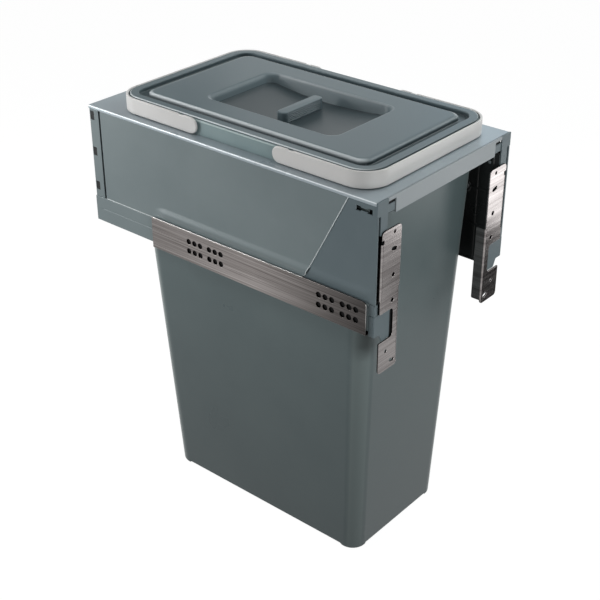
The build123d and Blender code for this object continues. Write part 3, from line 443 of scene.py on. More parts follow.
def bandFaces(rows, columns, closed):
    # quads of a grid of rows and columns; closed joins the last column to the first
    last = columns if closed else columns - 1
    row = np.arange(rows - 1)[:, None] * columns
    here = np.arange(last)[None, :]
    after = (here + 1) % columns
    quads = np.stack([row + here, row + after, row + columns + after, row + columns + here], axis=2)
    return quads.reshape(-1, 4).tolist()


def closedShell(stack):
    # a stack of rings with a flat face over its first and its last ring
    rows, columns = stack.shape[:2]
    faces = bandFaces(rows, columns, True)
    faces.append(list(range(columns))[::-1])
    faces.append(list(range((rows - 1) * columns, rows * columns)))
    return stack.reshape(-1, 3), faces


def joinSurfaces(*surfaces):
    # several surfaces as one list of points and faces
    points, faces, start = [], [], 0
    for corners, quads in surfaces:
        points.append(corners)
        faces += [[index + start for index in quad] for quad in quads]
        start += len(corners)
    return np.concatenate(points), faces


def flipped(faces):
    return [face[::-1] for face in faces]


def mirrored(surface, axis, middle=0.0):
    # the same surface on the other side of a plane, with its faces turned back outwards
    points = surface[0].copy()
    points[:, axis] = 2 * middle - points[:, axis]
    return points, flipped(surface[1])


def showMesh(name, mesh):
    piece = bpy.data.objects.new(name, mesh)
    scene.collection.objects.link(piece)
    return piece


def makePiece(name, surface, look, sharp, marks=None):
    # sharp: angle in degrees over which an edge stays crisp
    # marks: values by name, one for each point, that the finish reads
    points, faces = surface
    mesh = bpy.data.meshes.new(name)
    mesh.from_pydata((points * mm).tolist(), [], faces)
    for label, values in (marks or {}).items():
        mesh.attributes.new(label, "FLOAT", "POINT").data.foreach_set("value", np.asarray(values, np.float32))
    welded = bmesh.new()
    welded.from_mesh(mesh)
    bmesh.ops.remove_doubles(welded, verts=welded.verts, dist=weldGap)
    welded.to_mesh(mesh)
    welded.free()
    mesh.polygons.foreach_set("use_smooth", np.ones(len(mesh.polygons), bool))
    mesh.set_sharp_from_angle(angle=math.radians(sharp))
    mesh.update()
    mesh.materials.append(looks[look])
    return showMesh(name, mesh)


# Bin: closed shell from the feet up the outer wall, over the rim and down inside
binShape = {
    "insetSide": 21.2, "insetFront": 20.8, "insetRear": 35.8,     # draw-in of the walls at the foot
    "overhang": 4.5, "rimHeight": 19.0, "rimWall": 2.5,
    "wall": 2.5, "floor": 3.0, "roundTop": 25.0, "roundLow": 20.0, "roundLeast": 0.4,
    "footHeight": 4.0, "footRound": 3.0, "footReach": 18.0, "footInner": 1.5, "footTop": 0.8, "footPast": 6.0,
    "footRun": 0.02,                                              # share of a side that a foot slopes up on
    "rimEdge": 1.7, "innerEdge": 1.0, "floorRound": 5.0, "foldRound": 0.6,
    "holds": (6.0, 9.0, 14.0), "rimHold": 8.0, "floorHold": 12.0,     # rows that keep the walls straight
    "perArc": 14, "shares": (0.004, 0.009, 0.015, 0.021, 0.3, 0.5, 0.7, 0.979, 0.985, 0.991, 0.996),
    "paintedHighlightLevel": (0.05, 0.55),                                       # how the painted highlight on an upright corner fades in
}
binLow, binHigh = span("waste_bin")
binMid = (binLow[1] + binHigh[1]) / 2
trayTop = binHigh[2] - binShape["rimHeight"]
rimTop = binHigh[2]
rimHalfX = binHigh[0]
rimHalfY = (binHigh[1] - binLow[1]) / 2
rimRound = binShape["roundTop"] + binShape["overhang"]


def binSurface(shape):
    # a profile (distance inside the wall, height) carried round a loop that narrows towards the foot
    wall, foot, out = shape["wall"], shape["footHeight"], shape["overhang"]
    reach, fold = shape["footReach"], shape["foldRound"]
    gutter, rimLow = out - shape["rimWall"], rimTop - shape["rimWall"]
    belowRim, ground = trayTop - shape["rimHold"], foot + shape["floor"]
    profile = roundProfile([
        (reach + shape["footPast"], foot, 0), (reach, foot, shape["footTop"]), (reach, 0, shape["footInner"]),
        (0, 0, shape["footRound"]), *[(0, hold, 0) for hold in shape["holds"]],
        (0, belowRim, 0), (0, trayTop, 0), (0, rimLow, fold), (-gutter, rimLow, fold),
        (-gutter, trayTop, fold), (-out, trayTop, fold), (-out, rimTop, shape["rimEdge"]),
        (wall, rimTop, shape["innerEdge"]), (wall, trayTop, 0), (wall, belowRim, 0),
        (wall, ground + shape["floorHold"], 0), (wall, ground, shape["floorRound"]), (reach, ground, 0)])
    inset, height = profile.T
    taper = np.clip((trayTop - height) / (trayTop - foot), 0, None)
    halfX = rimHalfX - out - inset - taper * shape["insetSide"]
    front = binMid - rimHalfY + out + inset + taper * shape["insetFront"]
    rear = binMid + rimHalfY - out - inset - taper * shape["insetRear"]
    radius = shape["roundTop"] + (shape["roundLow"] - shape["roundTop"]) * taper - inset
    plan = loopPlan(shape["perArc"], np.array(shape["shares"]))
    stack = ringStack(plan, halfX, front, rear, np.maximum(radius, shape["roundLeast"]), height)
    lift = foot * smoothStep(plan[:, 5], 0.0, shape["footRun"])     # only the corners reach the ground
    stack[:, :, 2] = np.maximum(stack[:, :, 2], lift)
    # painted highlight on the upright corners, and along the rim's top edge on the long sides
    turned = np.abs(plan[:, 1] * plan[:, 4])             # 0 where an arc starts, most half-way round
    corner = smoothStep(turned / turned.max(), *shape["paintedHighlightLevel"]) * (plan[:, 5] == 0)
    rim = (height > rimTop - shape["rimEdge"] - hair) & (inset < shape["rimEdge"] - out + hair)
    return closedShell(stack), np.where(rim[:, None], longSides(plan), corner).ravel()


binParts, binHighlightPaint = binSurface(binShape)
wasteBin = makePiece("tubShell", binParts, "binPlastic", sharp=50.0, marks={"bareEdge": binHighlightPaint})
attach(wasteBin, "bin")
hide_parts("waste_bin")
print("bin made")


# Lid: underside from the middle outwards, round the flange, then the top inwards to the grip
lidShape = {
    "inset": 1.0, "shell": 2.5, "edge": 1.1, "underEdge": 0.4, "underRound": 0.8,
    "flange": 10.8, "groove": 10.5, "grooveDepth": 5.2, "grooveEdge": 1.2, "grooveFoot": 1.0,
    "plateauRound": 12.0, "plateauEdge": 3.2,
    "wellSide": 32.0, "wellEnd": 72.0, "wellRound": 16.0, "wellEdge": 1.6, "lipSetback": 1.2,
    "draft": 6.0, "depthMiddle": 17.5, "depthEnd": 10.5,
    "gripLength": 73.0, "gripWidth": 14.5, "gripRound": 5.2, "gripLeast": 0.3, "gripDrop": 2.3,
    "gripEdge": 1.5, "gripStart": 0.4,
    "ribs": 5, "ribDepth": 0.8, "ribFrom": 1.4, "ribTo": 12.9,    # heights above the well's floor
    "ribEnd": 0.04,                                               # share of the side where the ribs fade in
    "wellBare": 0.25, "wallHighlight": (0.05, 0.6, 2.2, 6.0),          # painted highlight: drops where it fades in and out
}
# points round the loop, then rows down the well's wall and over its floor, below and above
lidRows = {
    "perArc": 12, "shares": (0.015, 0.04, 0.2, 0.4, 0.6, 0.8, 0.96, 0.985),
    "lowWall": (0.03, 0.5, 0.97, 1.0), "lowFloor": (0.03, 0.3, 0.6, 0.9),
    "wall": (0.1, 0.5, 0.95, 1.0), "floor": (0.03, 0.12, 0.3, 0.5, 0.7, 0.88, 0.97, 1.0),
    "arc": 7, "lip": 6, "grip": 46,
}
plateauTop = span("lid")[1][2]


def lidRings(shape, plan, across, height):
    # rings by their distance inside the lid's edge; past the plateau's edge the ends draw in faster
    flat = shape["flange"] + shape["groove"]
    corner = rimRound - shape["inset"]
    mouth = flat + shape["wellSide"]
    steps = [0, shape["flange"], flat, mouth, mouth + shape["draft"]]
    along = np.interp(across, steps, [0, shape["flange"], flat, flat + shape["wellEnd"],
                                      flat + shape["wellEnd"] + shape["draft"]])
    radius = np.interp(across, steps, [corner, corner - shape["flange"], shape["plateauRound"],
                                       shape["wellRound"], shape["wellRound"] - shape["draft"]])
    halfX = rimHalfX - shape["inset"] - across
    halfY = rimHalfY - shape["inset"] - along
    return ringStack(plan, halfX, binMid - halfY, binMid + halfY, radius, height)


def dishHeight(shape, y, drop):
    # the well's floor: an arc along y, lowest in the middle
    sag = shape["depthMiddle"] - shape["depthEnd"]
    half = rimHalfY - shape["inset"] - shape["flange"] - shape["groove"] - shape["wellEnd"]
    radius = (half * half + sag * sag) / (2 * sag)
    return plateauTop - shape["depthMiddle"] - drop + radius - np.sqrt(radius ** 2 - (y - binMid) ** 2)


def wellWall(shape, plan, grow, top, edge, shares):
    # the leaning wall of the hand-well: each loop point goes down until it meets the dished floor
    mouth = shape["flange"] + shape["groove"] + shape["wellSide"] - grow
    lean = shape["draft"] / shape["depthMiddle"]
    start = lidRings(shape, plan, np.array([mouth + edge * lean]), np.array([top - edge]))[0]
    inward = lidRings(shape, plan, np.array([mouth + shape["draft"]]), np.array([0.0]))[0] - start
    inward[:, 2] = 0
    depth = np.full(len(plan), shape["depthEnd"])
    for _ in range(4):                       # four passes settle it
        share = depth / (shape["depthMiddle"] - edge)
        foot = start + inward * share[:, None]
        depth = top - edge - dishHeight(shape, foot[:, 1], grow)
    share = depth / (shape["depthMiddle"] - edge)
    down = np.stack([inward[:, 0] * share, inward[:, 1] * share, -depth], axis=1)
    return start + shares[:, None, None] * down


def dishFloor(shape, start, end, shares, drop):
    # rings from one loop to another, laid on the dished floor
    floor = start + np.array(shares)[:, None, None] * (end - start)
    floor[:, :, 2] = dishHeight(shape, floor[:, :, 1], drop)
    return floor


def gripLoop(shape, plan, inset, height):
    half = shape["gripWidth"] / 2 - inset
    return ringStack(plan, shape["gripLength"] / 2 - inset, binMid - half, binMid + half,
                     np.maximum(shape["gripRound"] - inset, shape["gripLeast"]), height)


def lidSurface(shape, rows):
    # rings of a profile (distance inside the edge, height), then the well and the grip on the same loop
    plan = loopPlan(rows["perArc"], np.array(rows["shares"]))
    flangeTop, flangeLow = rimTop + shape["shell"], rimTop
    grooveLow = flangeTop - shape["grooveDepth"]
    plugLow = grooveLow - shape["shell"]
    flange, flat = shape["flange"], shape["flange"] + shape["groove"]
    mouth = flat + shape["wellSide"]
    under = plateauTop - shape["shell"]
    # underside, worked from the flange inwards and then turned round
    plug, core, bend = flange - shape["shell"], flat + shape["shell"], shape["underRound"]
    profile = roundProfile([
        (shape["edge"], flangeLow, 0), (plug, flangeLow, shape["underEdge"]), (plug, plugLow, bend),
        (core, plugLow, bend), (core, under, bend), (mouth - shape["shell"], under, 0)])
    low = lidRings(shape, plan, *profile.T)
    lowWall = wellWall(shape, plan, shape["shell"], under, 0.0, np.array(rows["lowWall"]))
    base = gripLoop(shape, plan, np.zeros(1), np.zeros(1))[0]
    lowFloor = dishFloor(shape, lowWall[-1], base, rows["lowFloor"], shape["shell"])
    bottom = np.concatenate([low, lowWall, lowFloor])[::-1]
    # top: bullnose edge, groove, plateau, well
    profile = roundProfile([
        (shape["edge"], flangeLow, 0), (0, flangeLow, shape["underEdge"]), (0, flangeTop, shape["edge"]),
        (flange, flangeTop, shape["grooveEdge"]), (flange, grooveLow, shape["grooveFoot"]),
        (flat, grooveLow, shape["grooveFoot"]), (flat, plateauTop, shape["plateauEdge"]),
        (mouth - shape["wellEdge"] * shape["lipSetback"], plateauTop, 0)], rows["arc"])
    top = lidRings(shape, plan, *profile[1:].T)
    turn = np.linspace(0, math.atan2(shape["depthMiddle"], shape["draft"]), rows["lip"])[1:]
    lip = shape["wellEdge"] * np.stack([np.sin(turn) - shape["lipSetback"], np.cos(turn) - 1], axis=1)
    edge = lidRings(shape, plan, mouth + lip[:, 0], plateauTop + lip[:, 1])
    wall = wellWall(shape, plan, 0.0, plateauTop, shape["wellEdge"], np.array(rows["wall"]))
    floor = dishFloor(shape, wall[-1], base, rows["floor"], 0.0)
    # grip: upright faces with level ribs on the long sides, then a rounded top edge
    gripTop = plateauTop - shape["gripDrop"]
    gripLow = plateauTop - shape["depthMiddle"]
    rise = np.linspace(shape["gripStart"], gripTop - gripLow - shape["gripEdge"], rows["grip"])
    ribShare = np.clip((rise - shape["ribFrom"]) / (shape["ribTo"] - shape["ribFrom"]), 0, 1)
    wave = 0.5 - 0.5 * np.cos(2 * math.pi * shape["ribs"] * ribShare)
    upright = gripLoop(shape, plan, 0 * rise, gripLow + rise)
    longSide = (plan[:, 6] % 2 == 0) * smoothStep(plan[:, 5], 0.0, shape["ribEnd"])
    outward = np.sign(upright[:, :, 1] - binMid)
    upright[:, :, 1] += outward * shape["ribDepth"] * (wave[:, None] - 1) * longSide
    turn = np.linspace(0, math.pi / 2, rows["arc"])[1:]
    crown = gripLoop(shape, plan, shape["gripEdge"] * (1 - np.cos(turn)),
                     gripTop - shape["gripEdge"] * (1 - np.sin(turn)))
    # painted highlight along the long sides: the flange's edge, the wall of the raised middle, the well's
    # edge
    stack = np.concatenate([bottom, top, edge, wall, floor, upright, crown])
    across, drop = profile[1:, 0], plateauTop - profile[1:, 1]
    outerEdge = (across < shape["edge"]) & (drop < plateauTop - flangeTop + shape["edge"])
    fadeIn, fadeOut = shape["wallHighlight"][:2], shape["wallHighlight"][2:]
    innerWall = (across > flat - hair) * smoothStep(drop, *fadeIn) * (1 - smoothStep(drop, *fadeOut))
    paintedHighlightLevel = np.zeros(stack.shape[:2])
    paintedHighlightLevel[len(bottom):][:len(top)] = np.maximum(outerEdge, innerWall)[:, None]
    paintedHighlightLevel[len(bottom) + len(top):][:len(edge)] = shape["wellBare"]
    return closedShell(stack), (paintedHighlightLevel * longSides(plan)).ravel()


lidParts, lidHighlightPaint = lidSurface(lidShape, lidRows)
lid = makePiece("lidShell", lidParts, "lidPlastic", sharp=55.0, marks={"bareEdge": lidHighlightPaint})
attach(lid, "lid")
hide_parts("lid")
print("lid made")


# Bails: a flat strap along a U-shaped path, its outline a long slot shape with rounded edges
bailShape = {
    "thick": 3.0, "gap": 1.0, "edge": 1.1, "hold": 0.4, "spread": 137.0,
    "nickLength": 8.0, "nickDepth": 0.8, "nickOffset": 16.0,
    "nickFade": (0.4, 0.55), "nickReach": 0.6,               # shares of the nick's length
    "studRadius": 3.5, "studReach": 5.0, "studEdge": 0.6, "studSides": 24,
    "tipRows": 14, "nickRows": 13, "bendRows": 18, "edgeRows": 6,
    "beforeBend": 2.0, "afterBend": 0.1,                     # the second is a share of the straight across
}
bailLow, bailHigh = span("front_bail")


def bailSurface(shape):
    # columns run along the path s, rows run round the strap's section; made for the front bail
    tall = (bailHigh[2] - bailLow[2]) / 2
    pivot = binMid - shape["spread"] / 2
    corner = rimRound + shape["gap"]
    halfX, halfY = rimHalfX + shape["gap"], rimHalfY + shape["gap"]
    straight = pivot + tall - (binMid - halfY + corner)
    bend = corner * math.pi / 2
    across = 2 * (halfX - corner)
    turn = np.linspace(0, math.pi / 2, shape["tipRows"])
    tip = tall * (1 - np.cos(turn))
    nick = shape["nickLength"] * np.linspace(-shape["nickReach"], shape["nickReach"], shape["nickRows"])
    half = np.concatenate([tip, tall + shape["nickOffset"] + nick, [straight - shape["beforeBend"]],
                           straight + bend * np.linspace(0, 1, shape["bendRows"]),
                           [straight + bend + across * shape["afterBend"]]])
    s = np.concatenate([half, 2 * straight + 2 * bend + across - half[::-1]])
    total = s[-1]
    near = np.minimum(s, total - s)
    endTurn = np.arccos(np.clip(1 - near / tall, 0, 1))
    normalS = -np.cos(endTurn) * np.where(s < total / 2, 1, -1)
    rise = np.where(near < tall, tall * np.sin(endTurn), tall)
    fade = [share * shape["nickLength"] for share in shape["nickFade"]]
    bite = shape["nickDepth"] * (1 - smoothStep(np.abs(near - tall - shape["nickOffset"]), *fade))
    quarter = np.linspace(0, math.pi / 2, shape["edgeRows"])
    edge, thick = shape["edge"], shape["thick"]
    flat = [edge + shape["hold"]]            # rows that keep the broad faces flat
    offset = np.concatenate([[0], edge - edge * np.cos(quarter), thick - edge + edge * np.sin(quarter),
                             [thick]])
    draw = np.concatenate([flat, edge - edge * np.sin(quarter), edge - edge * np.cos(quarter), flat])
    lowRows = np.stack([s - draw[:, None] * normalS,
                        -(rise - draw[:, None] * np.sin(endTurn)), offset[:, None] + 0 * s], axis=2)
    topRows = np.stack([s - draw[::-1, None] * normalS,
                        rise - bite - draw[::-1, None] * np.sin(endTurn), offset[::-1, None] + 0 * s], axis=2)
    rows = np.concatenate([lowRows, topRows])
    along, height, out = rows[:, :, 0], rows[:, :, 1], rows[:, :, 2]
    # path: straight, quarter turn, straight across, quarter turn, straight
    first = np.clip(along, None, straight)
    angle = np.clip((along - straight) / corner, 0, math.pi / 2)
    middle = np.clip(along - straight - bend, 0, across)
    second = np.clip((along - straight - bend - across) / corner, 0, math.pi / 2)
    last = np.clip(along - straight - 2 * bend - across, 0, None)
    heading = angle + second
    reach = corner + out
    x = np.where(heading <= math.pi / 2, -halfX + corner - reach * np.cos(heading) + middle,
                 halfX - corner - reach * np.cos(heading))
    y = np.where(heading <= math.pi / 2, pivot + tall - first - reach * np.sin(heading),
                 pivot + tall - straight - reach * np.sin(heading) + last)
    z = (bailLow[2] + bailHigh[2]) / 2 + height
    rowsTurned = np.stack([x, y, z], axis=2).transpose(1, 0, 2)
    strap = rowsTurned.reshape(-1, 3), bandFaces(*rowsTurned.shape[:2], True)
    return joinSurfaces(strap, *bailStuds(shape, pivot, halfX))


def bailStuds(shape, pivot, halfX):
    # short round studs from the strap into the rim
    angle = np.linspace(0, 2 * math.pi, shape["studSides"] + 1)[:-1]
    radius = shape["studRadius"] - np.array([0, 0, shape["studEdge"]])
    reach = np.array([0, shape["studReach"] - shape["studEdge"], shape["studReach"]])
    x = halfX + shape["thick"] / 2 - reach
    middle = (bailLow[2] + bailHigh[2]) / 2
    stack = np.stack([x[:, None] + 0 * angle, pivot + radius[:, None] * np.cos(angle),
                      middle + radius[:, None] * np.sin(angle)], axis=2)
    stud = closedShell(stack[::-1])
    return stud, mirrored(stud, 0)


bailParts = bailSurface(bailShape)
frontBail = makePiece("frontBailStrap", bailParts, "bailPlastic", sharp=50.0)
rearBail = makePiece("rearBailStrap", mirrored(bailParts, 1, binMid), "bailPlastic", sharp=50.0)
for piece, name in ((frontBail, "front_bail"), (rearBail, "rear_bail")):
    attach(piece, name)
    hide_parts(name)
print("bails made")


# Flat plates with holes, and folds drawn along their length
def roundOutline(corners, steps=6):
    # closed outline from corners (u, w, radius), anticlockwise
    first, last = np.array(corners[0][:2]), np.array(corners[-1][:2])
    start = (*((first + last) / 2), 0)
    return roundProfile([start, *corners, start], steps)[:-1]


holeSides = 32


def roundHole(u, w, radius, length=0.0, angle=0.0):
    # clockwise hole: a circle, or a slot of that length overall turned by an angle
    turn = -np.linspace(0, 2 * math.pi, holeSides + 1)[:-1] + math.pi / (2 * holeSides)
    shift = np.where(np.cos(turn) > 0, 1, -1) * max(length / 2 - radius, 0)
    a, b = radius * np.cos(turn) + shift, radius * np.sin(turn)
    lean = math.radians(angle)
    return np.stack([u + a * math.cos(lean) - b * math.sin(lean),
                     w + a * math.sin(lean) + b * math.cos(lean)], axis=1)


def boxOutline(u0, u1, w0, w1, radius, steps=6):
    return roundOutline([(u0, w0, radius), (u1, w0, radius), (u1, w1, radius), (u0, w1, radius)], steps)


def boxHole(u, w, width, height, radius, steps=4):
    half, tall = width / 2, height / 2
    return boxOutline(u - half, u + half, w - tall, w + tall, radius, steps)[::-1]


def offsetLoop(loop, distance):
    # every point moved into the material on its left, corners mitred
    along = np.roll(loop, -1, 0) - loop
    along /= np.linalg.norm(along, axis=1)[:, None]
    side = np.stack([-along[:, 1], along[:, 0]], axis=1)
    before = np.roll(side, 1, 0)
    return loop + distance * (side + before) / (1 + (side * before).sum(1))[:, None]


def pointsInside(points, loop):
    # even and odd crossings of a line drawn from each point towards +u
    after = np.roll(loop, -1, 0)
    u, w = points[:, :1], points[:, 1:]
    spans = (loop[:, 1] > w) != (after[:, 1] > w)
    rise = np.where(after[:, 1] == loop[:, 1], 1.0, after[:, 1] - loop[:, 1])
    cross = loop[:, 0] + (w - loop[:, 1]) / rise * (after[:, 0] - loop[:, 0])
    return (spans & (cross > u)).sum(1) % 2 == 1


def fillLoops(loops, inner=None):
    # triangles between an outline and its holes, through the inner points if there are any
    edges, start = [], 0
    for loop in loops:
        edges += [(start + k, start + (k + 1) % len(loop)) for k in range(len(loop))]
        start += len(loop)
    corners = np.concatenate(loops if inner is None else [*loops, inner])
    made = delaunay_2d_cdt([Vector(point) for point in corners.tolist()], edges, [], 1, 1e-6)
    points = np.array([tuple(point) for point in made[0]])
    faces = np.array([list(face) for face in made[2]])
    a, b, c = (points[faces[:, k]] for k in range(3))
    turned = (b - a)[:, 0] * (c - a)[:, 1] - (b - a)[:, 1] * (c - a)[:, 0] < 0
    faces[turned] = faces[turned][:, ::-1]
    inside = np.zeros(len(faces), bool)      # a triangle whose middle lies in a hole goes
    for hole in loops[1:]:
        inside |= pointsInside((a + b + c) / 3, hole)
    return points, faces[~inside].tolist()


def edgeBand(loop, thick, edge, place, turns=4):
    # the rounded edge of a plate along one loop, from its face to its back
    quarter = np.linspace(0, math.pi / 2, turns)
    draw = np.concatenate([edge * (1 - np.sin(quarter)), edge * (1 - np.cos(quarter))])
    depth = np.concatenate([edge * (1 - np.cos(quarter)), thick - edge * (1 - np.sin(quarter))])
    rows = np.stack([offsetLoop(loop, step) for step in draw])
    points = place(rows[:, :, 0], rows[:, :, 1], depth[:, None] + 0 * rows[:, :, 0])
    return points.reshape(-1, 3), flipped(bandFaces(*rows.shape[:2], True))


def plateSurface(outline, holes, thick, edge, place, inner=None):
    # flat plate with rounded edges, drawn in (u, w) and put in space by place(u, w, depth)
    loops = [outline, *holes]
    flat, faces = fillLoops([offsetLoop(loop, edge) for loop in loops], inner)
    u, w, level = flat[:, 0], flat[:, 1], 0 * flat[:, 0]
    return joinSurfaces(*[edgeBand(loop, thick, edge, place) for loop in loops], (place(u, w, level), faces),
                        (place(u, w, level + thick), flipped(faces)))


def sideways(face):
    # plate seen from +X: u is y, w is z
    return lambda u, w, depth: np.stack([face - depth, u, w], axis=-1)


def forwards(face):
    # plate seen from the front: u is x, w is z
    return lambda u, w, depth: np.stack([u, face + depth, w], axis=-1)


def downwards(face):
    # plate seen from above: u is x, w is y
    return lambda u, w, depth: np.stack([u, w, face - depth], axis=-1)


def inwards(face):
    # plate seen from -X: u is -y, w is z
    return lambda u, w, depth: np.stack([face + depth, -u, w], axis=-1)


def runsClockwise(a, b):
    # by the sign of the area that a closed run of points encloses
    return (a * np.roll(b, -1) - np.roll(a, -1) * b).sum() < 0


def drawnSection(section, levels, place):
    # a closed section (a, b) drawn through the listed levels of the third axis
    section = np.array(section, float)
    if runsClockwise(*section.T):
        section = section[::-1]
    a, b = section.T
    return closedShell(np.stack([place(a, b, level + 0 * a) for level in levels]))


def upwards(a, b, level):
    return np.stack([a, b, level], axis=-1)


def rearwards(a, b, level):
    # section in (z, x), drawn along y
    return np.stack([b, level, a], axis=-1)


def arcPoints(u, w, radius, start, end, steps=7):
    turn = np.radians(np.linspace(start, end, steps))
    return np.stack([u + radius * np.cos(turn), w + radius * np.sin(turn)], axis=1)


# Tray: flat sheet round the bin's opening, with a rolled lip drawn along each long side
trayShape = {"sheet": 1.5, "lip": 4.0, "edge": 1.6, "hold": 0.4, "clear": 1.5, "openingEdge": 0.5,
             "lipRound": 0.3, "foldRound": 0.8, "lipRows": 9, "cornerRows": 12,
             "highlightFall": 1.2}                 # how fast the painted highlight fades to both sides of the edge
trayLow, trayHigh = span("top_tray")


def lipSurface(shape):
    # lip of the right side: from the flat over the round edge, down, and back along the underside
    sheet, lip, start = shape["sheet"], shape["lip"], shape["edge"] + shape["hold"]
    turn = shape["lipRound"]
    inset, drop = roundProfile([(start, 0, 0), (0, 0, shape["edge"]), (0, -lip, turn), (sheet, -lip, turn),
                                (sheet, -sheet, shape["foldRound"]), (start, -sheet, 0)], shape["lipRows"]).T
    ends = np.array([trayLow[1], trayHigh[1]])
    rows = np.stack([trayHigh[0] - inset[:, None] + 0 * ends, ends + 0 * inset[:, None],
                     trayTop + drop[:, None] + 0 * ends], axis=2)
    faces = flipped(bandFaces(len(inset), 2, False))
    first = list(range(0, 2 * len(inset), 2))
    faces += [first[::-1], [index + 1 for index in first]]
    return rows.reshape(-1, 3), faces


def traySurface(shape):
    # flat sheet with the bin's opening, a lip along each long side and a face at each end
    sheet, inner = shape["sheet"], shape["openingEdge"]
    flatX, front, rear = trayHigh[0] - shape["edge"] - shape["hold"], trayLow[1], trayHigh[1]
    width = 2 * (rimHalfX - binShape["overhang"] + shape["clear"])
    length = 2 * (rimHalfY - binShape["overhang"] + shape["clear"])
    hole = boxHole(0, binMid, width, length, binShape["roundTop"] + shape["clear"], shape["cornerRows"])
    outline = np.array([(-flatX, front), (flatX, front), (flatX, rear), (-flatX, rear)])
    flat, faces = fillLoops([outline, offsetLoop(hole, inner)])
    place, (x, y) = downwards(trayTop), flat.T
    parts = [(place(x, y, 0 * x), faces), (place(x, y, sheet + 0 * x), flipped(faces)),
             edgeBand(hole, sheet, inner, place)]
    for end, order in ((front, [0, 3, 2, 1]), (rear, [0, 1, 2, 3])):
        corners = np.array([(-flatX, end, trayTop), (flatX, end, trayTop), (flatX, end, trayTop - sheet),
                            (-flatX, end, trayTop - sheet)])
        parts.append((corners, [order]))
    lip = lipSurface(shape)
    return joinSurfaces(*parts, lip, mirrored(lip, 0))


def trayMarks(surface, shape):
    # painted highlight on the rolled edge, brightest where it faces half up and half out
    inset = trayHigh[0] - np.abs(surface[0][:, 0])
    drop = trayTop - surface[0][:, 2]
    rolled = (inset < shape["edge"]) & (drop < shape["edge"])
    bright = np.clip(1 - shape["highlightFall"] * np.abs(inset - drop) / shape["edge"], 0, 1)
    return {"bareEdge": np.where(rolled, bright, 0)}


trayParts = traySurface(trayShape)
topTray = makePiece("traySheet", trayParts, "traySteel", sharp=13.0, marks=trayMarks(trayParts, trayShape))
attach(topTray, "drawer")
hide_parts("top_tray")
print("tray made")


# Side panels: outer skin with a slanted front edge and a long pressed bead, folded in under the tray
panelShape = {
    "sheet": 1.2, "strip": 20.5, "slantTop": 37.0, "slantLow": 101.0, "slantRound": 13.0,
    "beadRise": 2.1, "beadHalf": 8.0, "beadAbove": 12.0, "beadFront": 12.0, "beadRear": 132.0,
    "beadTail": 3.0, "beadReach": 1.1, "beadStart": -0.6, "beadRows": 25, "beadPast": 8.0,
    "lip": 4.08, "joggle": 1.8, "joggleRound": 0.5, "joggleDrop": 1.6, "thick": 18.5,
    "fold": 0.2, "foldHold": 2.0, "rearHold": 1.0, "skinRows": 4,
    "edgeRound": 0.7, "edgeHighlight": 0.8, "footHighlight": 1.3, "flangeFront": 2.3, "flangeDrop": 1.55,
    "edgeSteps": (0, 0.06, 0.16, 0.3, 0.5, 0.7, 0.8, 0.9, 1.6), "runShares": (0.1, 0.3, 0.5, 0.7, 0.9),
    "rimWidth": 0.3, "rimSegments": 3, "rimAngle": 60.0,
}
panelLow = span("right_runner")[1][2]
skinX = span("right_runner")[1][0]
sideFront = span("right_front_cover")[0][1]
sideRear = span("right_rear_bracket")[1][1]
seamFoot = sideFront + panelShape["slantLow"]


def slantEdge(shape, z):
    # y of the panel's front edge: a slanted line that ends in a round corner at the foot
    slope = (shape["slantLow"] - shape["slantTop"]) / (trayTop - panelLow)
    lean = math.atan(slope)
    reach = shape["slantRound"] * math.tan(math.pi / 4 - lean / 2)
    line = sideFront + shape["slantTop"] + slope * (trayTop - z)
    dip = np.clip(panelLow + shape["slantRound"] - z, 0, shape["slantRound"])
    arc = sideFront + shape["slantLow"] + reach - np.sqrt(shape["slantRound"] ** 2 - dip ** 2)
    tangent = reach * math.cos(lean)                     # height where the corner meets the line
    return np.where(z < panelLow + tangent, arc, line), tangent


def beadLift(shape, y, z):
    # a cosine ridge across z that fades round at its front end and runs out slowly at its rear end
    past = np.maximum(np.maximum(sideFront + shape["beadFront"] - y,
                                 (y - sideRear + shape["beadRear"]) / shape["beadTail"]), 0)
    off = np.sqrt((z - panelLow - shape["beadAbove"]) ** 2 + past ** 2) / shape["beadHalf"]
    return shape["beadRise"] * (0.5 + 0.5 * np.cos(math.pi * np.clip(off, 0, 1)))


def beadRows(shape, count):
    # heights of the rows over the bead and a little past it
    reach = np.linspace(-shape["beadReach"], shape["beadReach"], count)
    return panelLow + shape["beadAbove"] + shape["beadHalf"] * reach


cornerSteps = np.array([0, 0.01, 0.03, 0.06, 0.10, 0.16, 0.25, 0.37, 0.52, 0.73, 1])


